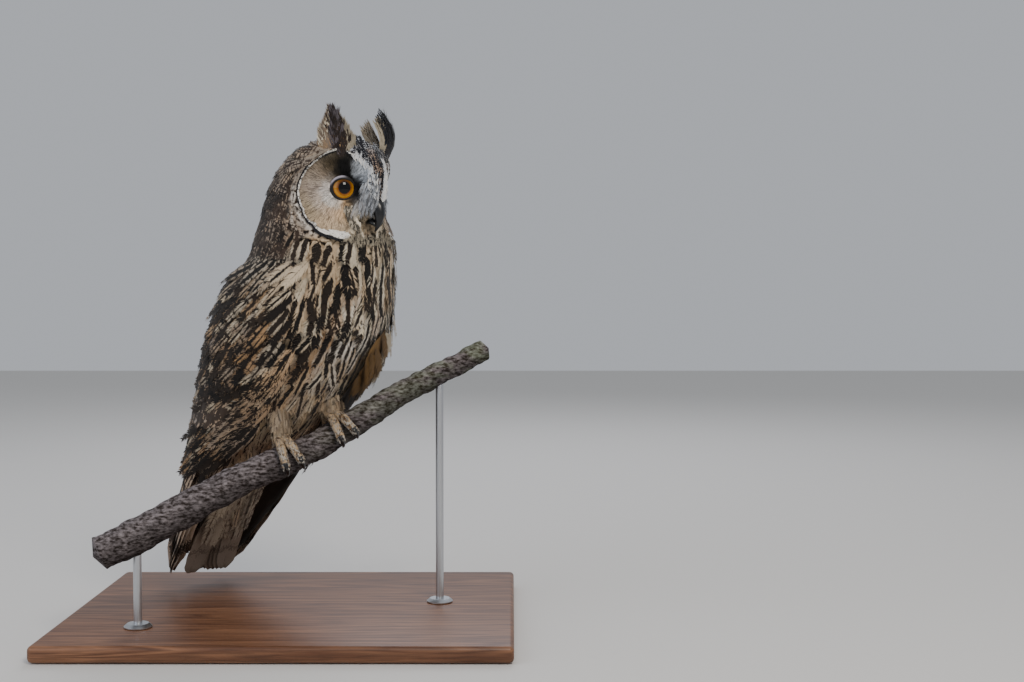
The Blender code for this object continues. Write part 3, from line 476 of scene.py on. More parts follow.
def eyePlane(place):
    # how far a place is from the nearer eye's axis, and its turn round it from the bill side
    side = nearSide(place)
    gap, angle = np.zeros(len(place)), np.zeros(len(place))
    for way in (1, -1):
        middle, look = eyePlace(way)
        right = unit(np.cross([0, 0, 1.0], look))
        across, up = (place - middle) @ (right * way), (place - middle) @ np.cross(look, right)
        mine = side == way
        gap[mine] = np.hypot(across, up)[mine]
        angle[mine] = np.degrees(np.arctan2(up, across))[mine]
    return gap, angle


def rimSpot(turn, share, side):
    # a place on the facial disc by its turn round the disc's middle and its share of the way to the rim
    reach = np.interp(turn, rimTurn, rimReach) * share
    across, up = reach * np.cos(np.radians(turn)), reach * np.sin(np.radians(turn))
    degrees = side * (face["discAngle"] + face["discHalfAngle"] * across)
    return degrees, face["height"] + face["discHalfHeight"] * up


# Colours as seen in daylight shade, sRGB hex
tint = {name: linear(value) for name, value in dict(
    white="e6e2da", cream="dccfb6", buff="c2a079", tan="ad8355", rufous="6b4a0a", brown="46362a",
    darkBrown="2b221b", black="12100f", greyBuff="93867a", grey="8d8a88", blueWhite="c3c9d2",
    blueBlack="191b22", legBuff="b59c7c", toe="cbbfae", lilac="a09aa6", amber="b0804e", crown="857b6e",
    tuftDark="28211f", gapeLine="d9cdb8", thigh="87735a").items()}


def tinted(under, **layers):
    # a named tint, or colours made before, with a share of each other tint laid over it in turn
    mixed = tint[under] if isinstance(under, str) else under
    for name, share in layers.items():
        mixed = blend(mixed, tint[name], share)
    return mixed


def plumageMaterial(name, roughness, wobble):
    # feather vane of fine barbs: matt, with a dark shaft streak, bars and tip worked along each feather
    made, tree, shader = newMaterial(name, roughness, {"Specular IOR Level": 0.22, "Sheen Weight": 0.12,
                                                       "Sheen Roughness": 0.5})
    pale, dark = (addNode(tree, "ShaderNodeAttribute", {"attribute_name": key}).outputs["Color"]
                  for key in ("pale", "dark"))
    marks = addNode(tree, "ShaderNodeAttribute", {"attribute_name": "marks"}).outputs["Vector"]
    kinds = addNode(tree, "ShaderNodeSeparateXYZ", None, {"Vector": marks}).outputs
    vane = addNode(tree, "ShaderNodeSeparateXYZ", None, {
        "Vector": addNode(tree, "ShaderNodeUVMap", {"uv_map": "Vane"}).outputs["UV"]}).outputs
    here = addNode(tree, "ShaderNodeTexCoord").outputs["Object"]
    # loose barbs, markings that wander from feather to feather, and the fine grain of the down
    loose, slow, grain = (addNode(tree, "ShaderNodeTexNoise", None, {
        "Vector": here, "Scale": 1 / size, "Detail": detail}).outputs[0]
        for size, detail in ((wobble, 3.0), (0.0055, 1.0), (0.0006, 2.0)))

    found = dict(loose=loose, slow=slow, grain=grain, streakWide=kinds["X"], barWide=kinds["Y"],
                 tipWide=kinds["Z"], across=vane["X"], along=vane["Y"])
    # each step works on those before it: the streak by its distance from the shaft, then bars and tip
    for name, operation, *given in (
            ("shaken", "SUBTRACT", "loose", 0.5), ("slowOff", "SUBTRACT", "slow", 0.5),
            ("wander", "MULTIPLY", "slowOff", 1.2), ("wandered", "ADD", "wander", 1.0),
            ("uneven", "MULTIPLY", "streakWide", "wandered"), ("fromShaft", "SUBTRACT", "across", 0.5),
            ("outward", "ABSOLUTE", "fromShaft"), ("off", "MULTIPLY", "outward", 2.0),
            ("frayed", "MULTIPLY", "shaken", 0.45), ("edge", "ADD", "off", "frayed"),
            ("inStreak", "SUBTRACT", "uneven", "edge"), ("streak", "MULTIPLY", "inStreak", 7.0),
            ("beat", "MULTIPLY", "along", 26.0), ("shiver", "MULTIPLY", "shaken", 5.0),
            ("phase", "ADD", "beat", "shiver"), ("wave", "SINE", "phase"),
            ("twice", "MULTIPLY", "barWide", 2.0), ("between", "SUBTRACT", 1.0, "twice"),
            ("inBar", "SUBTRACT", "wave", "between"), ("bars", "MULTIPLY", "inBar", 3.0),
            ("ragged", "MULTIPLY", "shaken", 0.16), ("ends", "ADD", "along", "ragged"),
            ("tipStart", "SUBTRACT", 1.0, "tipWide"), ("inTip", "SUBTRACT", "ends", "tipStart"),
            ("tip", "MULTIPLY", "inTip", 9.0), ("most", "MAXIMUM", "streak", "bars"),
            ("share", "MAXIMUM", "most", "tip"), ("bright", "MULTIPLY_ADD", "grain", 0.5, 0.76)):
        clamped = name in ("streak", "bars", "tip")
        step = addNode(tree, "ShaderNodeMath", {"operation": operation, "use_clamp": clamped},
                       {slot: found.get(value, value) for slot, value in enumerate(given)})
        found[name] = step.outputs[0]
    mixed = addNode(tree, "ShaderNodeMix", {"data_type": "RGBA"}, {0: found["share"], 6: pale, 7: dark})
    lit = addNode(tree, "ShaderNodeMix", {"data_type": "RGBA", "blend_type": "MULTIPLY"}, {
        0: 1.0, 6: mixed.outputs[2], 7: found["bright"]})
    tree.links.new(lit.outputs[2], shader.inputs["Base Color"])
    return made


softFeather = plumageMaterial("Soft body feathers", 0.88, wobble=0.0011)
stiffFeather = plumageMaterial("Stiff wing and tail feathers", 0.72, wobble=0.0016)


# Markings of the head and body, the same for the skin and its coat
def bodyTint(degrees, height, place):
    # pale and dark colours and the marks of a feather rooted here
    off = np.abs(degrees)
    coarse = patches(place * [1, 1, 0.5], 0.021, 5)
    fine = patches(place * [1, 1, 0.5], 0.008, 6)
    # a warm band runs from the breast down to the right leg
    bandAt = np.interp(height, (0.15, 0.176, 0.198, 0.224, 0.25), (29, 35, 36, 25, 30))
    band = np.exp(-((degrees - bandAt) / 6.5) ** 2)
    breast = np.exp(-((degrees - 2) / 30.0) ** 2 - ((height - 0.222) / 0.042) ** 2)
    low = 1 - smooth(0.17, 0.235, height)
    side = smooth(44, 74, off) * smooth(0.222, 0.252, height)
    back = smooth(95, 130, off)
    pale = tinted("cream", buff=smooth(0.25, 0.7, coarse) * 0.62,
                  amber=smooth(0.62, 0.9, fine) * smooth(0.4, 0.6, coarse) * 0.42)
    pale = tinted(pale, amber=band * smooth(0.14, 0.16, height) * (1 - smooth(0.245, 0.262, height))
                  * (0.35 + 0.5 * fine), white=breast * 0.75 * smooth(0.3, 0.6, fine) * (1 - band),
                  buff=low * 0.30, greyBuff=low * 0.55 * smooth(0.4, 0.7, fine))
    pale = tinted(tinted(pale, greyBuff=side * 0.65), greyBuff=back * 0.8, brown=back * 0.45 * fine)
    dark = tinted("darkBrown", black=0.4 + 0.6 * np.maximum(side, fine), brown=back * (0.25 + 0.6 * coarse))
    streak = 0.12 * fine + 0.38 * side + (0.10 + 0.42 * coarse) * back + 0.12 * low
    return pale * (0.80 + 0.24 * breast)[:, None], dark, columns(
        streak, -0.06 + 0.26 * side + 0.28 * back, -0.10 + 0.22 * side + 0.20 * back)


def fanEdge(degrees, height):
    # how far out from the face's middle the brow's bristles end, in degrees; a little nearer on the left
    edge = np.interp(height, (0.311, 0.3135, 0.3220, 0.3320, 0.3375, 0.3395, 0.3465, 0.3520),
                     (0.0, 2.2, 5.2, 7.5, 11.5, 15.5, 24.0, 24.0))
    return edge * np.where((degrees < 0) & (height < 0.342), 0.42, 1.0)


def headTint(degrees, height, place):
    # crown and nape, the forehead between the discs and the cheeks
    off = np.abs(degrees)
    turn = discReach(degrees, height)[1]
    rim = rimShare(degrees, height)
    fine = patches(place, 0.006, 8)
    coarse = patches(place, 0.014, 9)
    pick = np.random.default_rng(len(degrees))
    marks = pick.normal([0.26, 0.32, 0.22], [0.18, 0.18, 0.12], (len(degrees), 3))
    streak, bars, tip = np.clip(marks, 0, 0.8).T
    # forehead between the discs, speckled white and black, with a buff-brown middle
    front = (1 - smooth(0, 9, off - fanEdge(degrees, height))) * smooth(0.311, 0.315, height)
    top = (1 - smooth(24, 38, off)) * smooth(0.340, 0.347, height)
    front = np.maximum(front, top) * (1 - smooth(0.3585, 0.3600, height))
    middle = (1 - smooth(2.5, 7.0, np.abs(degrees - 2))) * front * (1 - smooth(0.346, 0.352, height))
    # a pale speckled band outside the lower outer rim, and the buff cheek behind it
    band = (1 - smooth(1.10, 1.24, rim)) * (1 - smooth(-5, 25, turn)) * smooth(-86, -70, turn)
    behind = smooth(1.15, 1.4, rim) * (1 - smooth(0.33, 0.345, height)) * smooth(50, 62, off)
    pale = tinted("crown", greyBuff=0.2 + coarse * 0.6, buff=smooth(0.5, 0.9, fine) * 0.22,
                  blueWhite=front * (0.5 + 0.4 * smooth(0.3, 0.7, fine)), tan=middle * 0.6,
                  white=band * 0.75 * (0.5 + 0.5 * fine))
    pale = tinted(pale, tan=behind * 0.10)
    dark = tinted(tint["brown"] * [0.85, 0.9, 1.0], black=0.1 + 0.8 * coarse, blueBlack=front)
    streak = streak + front * 0.22 + 0.30 * behind + 0.16 * smooth(100, 140, off)
    return pale, dark, columns(streak, bars + front * 0.20, tip)


# The disc's look by the turn round the eye: how far in mm the first colour reaches from the eye's middle,
# then the colours beside the lid, half way out and at the rim
discLook = [(-180, 13.0, "cfc6be", "b7a89b", "a19182"), (-150, 13.8, "e0dbd4", "c2b3a4", "a8987f"),
            (-120, 13.2, "d9d0c5", "cbb196", "c2ab8e"), (-92, 11.6, "b39674", "cfae87", "cbb497"),
            (-72, 11.2, "7a6956", "bda27e", "cbb697"), (-56, 11.2, "38332f", "6d655c", "8d7e68"),
            (-35, 11.4, "1c1c1e", "888b90", "8f959b"), (-10, 12.6, "101012", "82878e", "8b9199"),
            (15, 12.4, "0e0e10", "8a9098", "a3a9b2"), (35, 10.4, "0e0e10", "a4abb4", "cbd2da"),
            (55, 10.4, "0c0b0b", "b7bec6", "d8dfe6"), (67, 10.8, "0a0909", "a2a8ae", "b6bcc2"),
            (76, 14.0, "090808", "2b2927", "4d4a46"), (88, 17.0, "090808", "1b1815", "3a352e"),
            (105, 15.0, "0b0a09", "2b241a", "464036"), (125, 12.2, "2e2821", "544938", "625a4c"),
            (145, 11.5, "8d8378", "8b7c6b", "8a7b69"), (165, 12.0, "c2b9b1", "a99b8c", "9d8f7f"),
            (180, 13.0, "cfc6be", "b7a89b", "a19182")]
discTurns = np.array([row[0] for row in discLook], float)
discDarkReach = np.array([row[1] for row in discLook]) / 1000
discShades = np.array([[linear(value) for value in row[2:]] for row in discLook])


def discTint(degrees, height, place):
    # the facial disc, by turn and distance round the eye
    off = np.abs(degrees)
    gap, turn = eyePlane(place)
    fine = patches(place, 0.0035, 12)
    turn = turn + 7 * (patches(place, 0.011, 13) - 0.5)
    begin = np.interp(turn, discTurns, discDarkReach) + 0.0016 * (fine - 0.5)
    inner, half, outer = (columns(*(np.interp(turn, discTurns, discShades[:, k, c]) for c in range(3)))
                          for k in range(3))
    pale = blend(inner, half, smooth(begin - 0.0008, begin + 0.0024, gap))
    pale = blend(pale, outer, smooth(begin + 0.003, 0.0250, gap))
    # blue-white bristles on the left, beside the bill
    beside = (1 - smooth(-5.0, -2.0, degrees)) * smooth(0.300, 0.308, height) * (1 - smooth(20, 30, off))
    pale = tinted(pale, blueWhite=beside * 0.9) * (0.86 + 0.28 * fine)[:, None]
    # a pale line from the eye's lower inner corner down beside the gape, and the mottled chin
    line = np.exp(-((off - 17.0 - 260 * (0.305 - height)) / 1.8) ** 2) * (1 - smooth(0.311, 0.316, height))
    chin = (1 - smooth(12, 17, off)) * (1 - smooth(0.296, 0.301, height))
    pale = tinted(pale, cream=line * smooth(0.288, 0.292, height) * 0.9,
                  brown=chin * 0.55 * smooth(0.3, 0.6, fine))
    gape = np.exp(-((off - 17) / 7.0) ** 2 - ((height - 0.3010) / 0.0050) ** 2)
    return pale, tinted(pale * 0.34, black=gape), columns(
        0.16 + 0.20 * smooth(0.5, 0.85, fine) + 0.45 * gape + 0.25 * chin * fine, 0.0, 0.05 + 0.08 * fine)


# Light, floor and camera. The owl is looked at along Y, level with its breast.
shot = dict(place=(0.1635, -1.075, 0.2594), pitch=-2.456, lens=50, sensor=36)
studio = dict(floorSize=6.0, floorBelow=0.0006, floor="d3d1cd", world="dfe3ea", worldPower=0.62,
              aim=(0, 0, 0.22))
eyeOfShot = bpy.data.cameras.new("shot")
eyeOfShot.lens = shot["lens"]
eyeOfShot.sensor_width = shot["sensor"]
eyeOfShot.clip_start = 0.01
shotObject = bpy.data.objects.new("shot", eyeOfShot)
shotObject.location = shot["place"]
shotObject.rotation_euler = (math.radians(90 + shot["pitch"]), 0, 0)
scene.collection.objects.link(shotObject)
scene.camera = shotObject
bpy.ops.mesh.primitive_plane_add(size=studio["floorSize"], location=(0, 0, -studio["floorBelow"]))
floor = bpy.context.object
floor.name = "floor"
# matt and pale, so that the owl throws a soft shadow
floor.data.materials.append(newMaterial("Matt painted studio floor", 0.9, {
    "Base Color": (*linear(studio["floor"]), 1)})[0])
scene.world = bpy.data.worlds.new("Pale studio")
scene.world.use_nodes = True
sky = scene.world.node_tree.nodes["Background"].inputs
sky["Color"].default_value = (*linear(studio["world"]), 1)
sky["Strength"].default_value = studio["worldPower"]
for name, place, size, power, colour in (
        ("key", (0.60, -1.18, 1.17), 0.5, 15, "fff6ea"), ("fill", (-1.10, -0.85, 0.85), 1.3, 8, "eaf1ff"),
        ("back", (0.2, 1.2, 1.25), 0.9, 9, "f4f6ff")):
    lamp = bpy.data.lights.new(name, "AREA")
    lamp.size = size
    lamp.energy = power
    lamp.color = linear(colour)
    lampObject = bpy.data.objects.new(name, lamp)
    lampObject.location = place
    lampObject.rotation_euler = (Vector(studio["aim"]) - Vector(place)).to_track_quat("-Z", "Y").to_euler()
    scene.collection.objects.link(lampObject)
print("light, floor and camera: done")


# The perch: the cut branch's middle line and radius, in the model's frame
branchRoute = np.array([
    (-0.1270, -0.0806, 0.0668, 0.0131), (-0.0990, -0.0695, 0.0800, 0.0130),
    (-0.0749, -0.0600, 0.0926, 0.0128), (-0.0386, -0.0464, 0.1120, 0.0121),
    (-0.0100, -0.0372, 0.1243, 0.0116), (0.0171, -0.0280, 0.1361, 0.0113),
    (0.0390, -0.0188, 0.1490, 0.0108), (0.0817, -0.0004, 0.1746, 0.0096),
    (0.1190, 0.0138, 0.1938, 0.0088), (0.1420, 0.0226, 0.2052, 0.0085)])


def alongRoute(route, share):
    # a smooth curve through the route's points, for many shares at once
    place = np.clip(share, 0, 1) * (len(route) - 1)
    i = np.minimum(place.astype(int), len(route) - 2)
    t = (place - i)[:, None]
    a, b, c, d = (route[np.clip(i + k, 0, len(route) - 1)] for k in (-1, 0, 1, 2))
    square, cube = 2 * a - 5 * b + 4 * c - d, 3 * b - a - 3 * c + d
    return 0.5 * (2 * b + (c - a) * t + square * t * t + cube * t ** 3)


fineBranch = alongRoute(branchRoute, np.linspace(0, 1, 600))


def branchAt(x):
    # the branch's middle, direction and radius where it crosses x
    i = min(max(int(np.searchsorted(fineBranch[:, 0], x)), 6), len(fineBranch) - 7)
    return fineBranch[i, :3], unit(fineBranch[i + 6, :3] - fineBranch[i - 6, :3]), fineBranch[i, 3]


def gripSpot(middle, along, radius, turn, reach, shift):
    # a place round the branch, by its turn in degrees from the top towards the owl's front
    up = unit(np.array([0, 0, 1.0]) - along * along[2])
    front = np.cross(along, up)
    front = -front if front[1] > 0 else front
    way = up * math.cos(math.radians(turn)) + front * math.sin(math.radians(turn))
    return middle + along * shift + way * (radius + reach)


toOwlFrame = np.array(owlMatrix.inverted())


def toOwl(spots):
    return np.asarray(spots, float) @ toOwlFrame[:3, :3].T + toOwlFrame[:3, 3]


def tubeShell(spots, radii, sides, start=0):
    # a closed tube through some spots with rounded ends: places, faces, outward ways
    spots = np.asarray(spots, float)
    runs = unit(np.gradient(spots, axis=0))
    rings, faces, ways = [], [], []
    side = unit(np.cross(runs[0], [0.3, 0.2, 1.0]))
    turns = np.arange(sides) * 2 * math.pi / sides
    for spot, run, radius in zip(spots, runs, radii):
        side = unit(side - run * np.dot(side, run))
        way = side * np.cos(turns)[:, None] + np.cross(run, side) * np.sin(turns)[:, None]
        rings.append(spot + way * radius)
        ways.append(way)
    places = list(np.concatenate(rings))
    top = start + (len(spots) - 1) * sides
    for ring in range(start, top, sides):
        for k in range(sides):
            a, b = ring + k, ring + (k + 1) % sides
            faces.append((a, b, b + sides, a + sides))
    first, last = start + len(places), start + len(places) + 1
    places += [spots[0] - runs[0] * radii[0] * 0.4, spots[-1] + runs[-1] * radii[-1] * 0.4]
    ways = list(np.concatenate(ways)) + [-runs[0], runs[-1]]
    for k in range(sides):
        b = (k + 1) % sides
        faces += [(start + b, start + k, first), (top + k, top + b, last)]
    return places, faces, ways


footShape = dict(spacing=0.043, toeRadius=0.0043, toeSpread=0.0054, clawRadius=0.0023, inside=0.86)
toeRoutes, legRoutes, clawRoutes = [], [], []
for side in (1, -1):
    _, along, _ = branchAt(owlPlace["x"])
    middle, along, radius = branchAt(owlPlace["x"] - along[0] * side * footShape["spacing"] / 2)
    for number, (way, shift) in enumerate(((1, -1), (1, 1), (-1, -1), (-1, 1)), 1):
        aside = shift * footShape["toeSpread"]
        shares = np.linspace(0, 1, 11)
        thick = footShape["toeRadius"] * (1 - 0.2 * shares + 0.05 * np.sin(shares * 15)) * footShape["inside"]
        spots = [gripSpot(middle, along, radius, way * (6 + 92 * s), t * 1.12 + 0.0003,
                          aside * (0.35 + 0.75 * s)) for s, t in zip(shares, thick)]
        toeRoutes.append((toOwl(spots), thick))
        shares = np.linspace(-0.12, 1, 14)
        spots = [gripSpot(middle, along, radius, way * (92 + 52 * s), 0.0050 - 0.0042 * s * abs(s),
                          aside * (1.08 + 0.1 * s)) for s in shares]
        thick = footShape["clawRadius"] * np.clip(1 - 0.86 * shares, 0, 1)
        clawRoutes.append((side, number, toOwl(spots), thick))
    low = toOwl(gripSpot(middle, along, radius, 2, footShape["toeRadius"] * 1.1, 0))
    high = np.array([side * 0.0235, low[1] * 0.25 - 0.012, 0.187])
    thick = np.array([0.0050, 0.0056, 0.0062, 0.0070, 0.0080, 0.0095, 0.0112]) * footShape["inside"]
    legRoutes.append((np.array([low + (high - low) * s for s in (0, 0.15, 0.3, 0.45, 0.6, 0.8, 1)]), thick))

# The skin: one shell inside the coat, with the head, body, legs and feet in it
skinShape = dict(around=150, bodyDepth=0.0026, faceDepth=0.0009, limbSides=14)


def skinDepth(degrees, height):
    # shallow on the face and the crown, deeper under the longer feathers of the body and nape
    behind = smooth(78, 95, np.abs(degrees)) * (1 - smooth(0.35, 0.356, height))
    share = np.maximum(1 - smooth(0.285, 0.292, height), behind)
    return skinShape["faceDepth"] + (skinShape["bodyDepth"] - skinShape["faceDepth"]) * share


def limbUv(number, spin, share):
    # each leg and toe has its own strip low on the unwrap: spin round it and share along it, 0 to 1
    return columns(0.02 + limbStrip * (number + 0.08 + 0.84 * spin), 0.02 + 0.17 * share, 0.0)


levels = np.concatenate([np.linspace(0.3600, 0.2860, 76), np.linspace(0.2845, 0.0890, 82)])
wide = skinShape["around"] + 1
gridTurns, gridLevels = (grid.ravel() for grid in np.meshgrid(np.linspace(-180, 180, wide), levels))
skinPlaces = list(bodySpot(gridTurns, gridLevels, -skinDepth(gridTurns, gridLevels)))
skinUvs = [skinUv(gridTurns, gridLevels)]
skinFaces = [(a, a + wide, a + wide + 1, a + 1)
             for row in range(0, (len(levels) - 1) * wide, wide) for a in range(row, row + wide - 1)]
for r, rise in ((0, 0.0002), (len(levels) - 1, -0.0004)):
    pole = len(skinPlaces)
    skinPlaces.append(np.mean(skinPlaces[r * wide:(r + 1) * wide], axis=0) + [0, 0, rise])
    skinUvs.append(skinUv(0.0, levels[r] + rise)[None])
    edges = [(a, a + 1) if r == 0 else (a + 1, a) for a in range(r * wide, (r + 1) * wide - 1)]
    skinFaces += [(pole, *edge) for edge in edges]
bodyCount = len(skinPlaces)
limbs = legRoutes + toeRoutes
limbStrip = 0.96 / len(limbs)
for number, (spots, radii) in enumerate(limbs):
    sides = skinShape["limbSides"]
    places, faces, ways = tubeShell(spots, radii, sides, len(skinPlaces))
    row, k = np.repeat(np.arange(len(spots)), sides), np.tile(np.arange(sides), len(spots))
    skinUvs.append(limbUv(number, k / sides, row / (len(spots) - 1)))
    skinUvs.append(np.array([[0.02 + limbStrip * (number + 0.5), level, 0] for level in (0.015, 0.195)]))
    skinPlaces += places
    skinFaces += faces
skinPlaces = np.array(skinPlaces)


def wholeTint(degrees, height, place):
    # the face, head and body markings joined across their edges
    head = headTint(degrees, height, place)
    disc = discTint(degrees, height, place)
    body = bodyTint(degrees, height, place)
    onDisc = 1 - smooth(0.97, 1.03, rimShare(degrees, height))
    onDisc = np.maximum(onDisc, (1 - smooth(16, 22, np.abs(degrees))) * smooth(0.290, 0.294, height)
                        * (1 - smooth(0.326, 0.332, height)))
    onBody = 1 - smooth(0.286, 0.296, height + 0.0015 * (patches(place, 0.01, 3) - 0.5))
    met = [h + (d - h) * onDisc[:, None] for h, d in zip(head, disc)]
    return tuple(m + (b - m) * onBody[:, None] for m, b in zip(met, body))


skinPale, skinDark, _ = wholeTint(np.append(gridTurns, [0, 0]), np.append(gridLevels, [0.36, 0.089]),
                                  skinPlaces[:bodyCount])
limbCount = len(skinPlaces) - bodyCount
skinPale = np.vstack([skinPale, np.tile(tint["legBuff"], (limbCount, 1))])
skinDark = np.vstack([skinDark, np.tile(tint["brown"], (limbCount, 1))])
# matt down, patchy at 3 mm, so that gaps between feathers look like more feathers
down, downTree, downShader = newMaterial("Down close to the skin", 0.95, {"Specular IOR Level": 0.15})
under = addNode(downTree, "ShaderNodeTexNoise", None, {
    "Vector": addNode(downTree, "ShaderNodeTexCoord").outputs["Object"], "Scale": 1 / 0.003, "Detail": 3.0})
spread = addNode(downTree, "ShaderNodeMapRange", None, {
    "Value": under.outputs[0], "From Min": 0.45, "From Max": 0.62})
pale, dark = (addNode(downTree, "ShaderNodeAttribute", {"attribute_name": key}).outputs["Color"]
              for key in ("pale", "dark"))
both = addNode(downTree, "ShaderNodeMix", {"data_type": "RGBA"}, {0: spread.outputs[0], 6: pale, 7: dark})
downTree.links.new(both.outputs[2], downShader.inputs["Base Color"])
skin = newPiece("skin", skinPlaces, skinFaces, uvs={"OFBake": np.concatenate(skinUvs)[:, :2]},
                colours={"pale": skinPale, "dark": skinDark}, finish=down)
settle(skin, ("head", "neck", "torso", "leg_right", "leg_left", "foot_right", "foot_left"))
print(f"skin: {len(skinFaces)} faces")


# Body coat: streaked breast, belly and flanks, dark scalloped neck and back
bodyCoat = dict(rows=0.0056, across=0.0052, depth=0.0027, shake=0.16, seed=3, rise=0.8)
streakCoat = dict(rows=0.0098, across=0.0080, depth=0.0001, width=0.0108, length=0.0275, shake=0.20, seed=4,
                  rise=0.8)


def bodyCovered(degrees, height):
    # under the folded wings nothing grows that could be seen
    return (np.abs(degrees) > 68) & (np.abs(degrees) < 152) & (height < 0.250)


def overhang(height):
    # feathers are shorter where the breast turns under, so that they don't stand off
    return 1 - 0.34 * np.exp(-((height - 0.230) / 0.013) ** 2)


degrees, height = layRows(0.2990, 0.0885, bodyCoat, shake=0.45)
keep = ~bodyCovered(degrees, height) & ~((np.abs(degrees) < 62) & (height > 0.2895))
degrees, height = degrees[keep], height[keep]
low = 1 - smooth(0.17, 0.24, height)
back = smooth(95, 140, np.abs(degrees))
neck = smooth(0.255, 0.292, height)
length = (0.0250 - 0.0085 * neck + 0.004 * low) * overhang(height)
size = sizes(len(degrees), 1, 1) * columns(0.0105 - 0.0030 * low - 0.0025 * neck + 0.002 * back, length,
                                           length * (1 - 0.4 * back))
growCoat("breast_belly_and_back", sheathRoots(
    degrees, height, bodyCoat["depth"], size, bodyTint(degrees, height, bodySpot(degrees, height)),
    shake=bodyCoat["shake"], relief=0.0, ahead=0.010), "plumes", bodyCoat)

# bold black-brown shaft streaks on top, spaced out over the breast and narrower on the belly and flanks
degrees, height = layRows(0.2860, 0.1050, streakCoat, (-75, 75), shake=0.62)
keep = ~bodyCovered(degrees, height)
degrees, height = degrees[keep], height[keep]
count = len(degrees)
low = 1 - smooth(0.17, 0.235, height)
neck = smooth(0.262, 0.284, height)
size = sizes(count, 1, 1, 0.2) * columns(streakCoat["width"] * (1 - 0.42 * low - 0.15 * neck),
                                         streakCoat["length"] * (1 - 0.38 * neck) * overhang(height), 0.020)
pale = bodyTint(degrees, height, bodySpot(degrees, height))[0]
dark = tinted("black", darkBrown=draw.uniform(0, 1, count))
marks = columns(draw.uniform(0.30, 0.78, count) - 0.06 * low, draw.uniform(-0.15, 0.12, count), 0.0)
growCoat("breast_streaks", sheathRoots(degrees, height, streakCoat["depth"], size, (pale, dark, marks),
                                       shake=streakCoat["shake"], relief=0.0, ahead=0.009),
         "plumes", streakCoat)


def wingLie(side, angles, heights, turned, fall):
    # the outward way and the lie of feathers on a folded wing, which run back and down along it
    over = wingSpot(side, angles + 1, heights) - wingSpot(side, angles - 1, heights)
    along = wingSpot(side, angles + turned, heights - fall) - wingSpot(side, angles - turned, heights + fall)
    out = unit(np.cross(over, along)) * side
    return out, swayed(along, out, 0.10)


# Flank feathers: long, buff and narrowly streaked, laid back over the lower front edge of the wings
flankCoat = dict(count=190, width=0.0088, length=0.0320, lift=0.0006, seed=13)
for side, word in ((1, "right"), (-1, "left")):
    count = flankCoat["count"]
    share = draw.uniform(0, 1, count)
    angles = 38 + 24 * draw.uniform(0, 1, count) * (0.4 + 0.6 * share)
    heights = 0.214 - 0.066 * share
    place = wingSpot(side, angles, heights, flankCoat["lift"] - 0.0025)
    out, lie = wingLie(side, angles, heights, (6 + 7 * share) / 8, 0.0022)
    pale = tinted(bodyTint(side * angles * 0.8, heights, place)[0], buff=draw.uniform(0.1, 0.6, count),
                  greyBuff=share * draw.uniform(0.2, 0.9, count))
    marks = columns(draw.uniform(0.15, 0.75, count), draw.uniform(0, 0.18, count), 0.0)
    dark = tinted("black", darkBrown=draw.uniform(0, 1, count))
    size = sizes(count, flankCoat["width"], flankCoat["length"], 0.15) * (0.72 + 0.28 * share)[:, None]
    growCoat("flank_feathers_" + word, rootSet(place, out, lie, size * [1, 1, 0.55], (pale, dark, marks),
                                               skinUv(side * angles, heights)), "plumes", flankCoat)


# Crown, nape and the sides of the head
crownCoat = dict(rows=0.0035, across=0.0038, width=0.0066, length=0.0112, depth=0.0018, seed=5, rise=0.75)
foreheadCoat = dict(rows=0.0020, across=0.0019, width=0.0032, length=0.0060, depth=0.0008, seed=6, rise=0.7)


def headFlow(place, out, down, along):
    # back over the crown, and down behind the cheeks
    share = smooth(0.330, 0.350, place[:, 2])[:, None]
    return unit(down * (1 - share) + np.array([0.08, -1.0, 0.15]) * share)


def foreheadFlow(place, out, down, along):
    # up from the bill and away from the middle
    return unit(-down + along * np.sign(place[:, :1] + 0.003) * 0.25)


def onForehead(degrees, height, more=0.0):
    return (np.abs(degrees) < fanEdge(degrees, height) + more) & (height > 0.3125) & (height < 0.3520)


degrees, height = layRows(0.3600, 0.2890, crownCoat)
keep = (rimShare(degrees, height) > 1.02) & ~onForehead(degrees, height)
keep &= ~((np.abs(degrees) < 58) & (height < 0.304)) & ~((np.abs(degrees) < 20) & (height < 0.340))
degrees, height = degrees[keep], height[keep]
near = 0.62 + 0.38 * smooth(1.05, 1.45, rimShare(degrees, height))
near = near * (1 + 0.6 * smooth(60, 80, np.abs(degrees)) * (1 - smooth(0.298, 0.338, height)))
size = sizes(len(degrees), crownCoat["width"], crownCoat["length"]) * near[:, None]
growCoat("crown_and_nape", sheathRoots(
    degrees, height, crownCoat["depth"], size, headTint(degrees, height, bodySpot(degrees, height)),
    headFlow), "plumes", crownCoat)

degrees, height = layRows(0.3520, 0.3125, foreheadCoat, (-34, 34))
keep = onForehead(degrees, height, 1.0)
degrees, height = degrees[keep], height[keep]
size = sizes(len(degrees), foreheadCoat["width"], foreheadCoat["length"])
size = size * (0.6 + 0.4 * smooth(0.313, 0.335, height))[:, None]
growCoat("forehead", sheathRoots(
    degrees, height, foreheadCoat["depth"], size, headTint(degrees, height, bodySpot(degrees, height)),
    foreheadFlow), "plumes", foreheadCoat)


# The facial discs: fine wisps that spread from each eye out to the rim
discCoat = dict(rows=0.00085, across=0.00090, width=0.0015, length=0.0064, depth=0.0005, shake=0.08, seed=7)
loreCoat = dict(rows=0.0012, across=0.0012, width=0.0016, length=0.0082, depth=-0.0002, shake=0.12, seed=17)


def discFlow(place, out, down, along):
    # away from the eye, and downwards over the chin
    eyes = np.stack([eyePlace(way)[0] for way in (1, -1)])
    away = unit(place - eyes[np.where(nearSide(place) > 0, 0, 1)])
    low = (1 - smooth(0.292, 0.304, place[:, 2]))[:, None]
    return unit(away * (1 - 0.5 * low) + down * 0.5 * low)


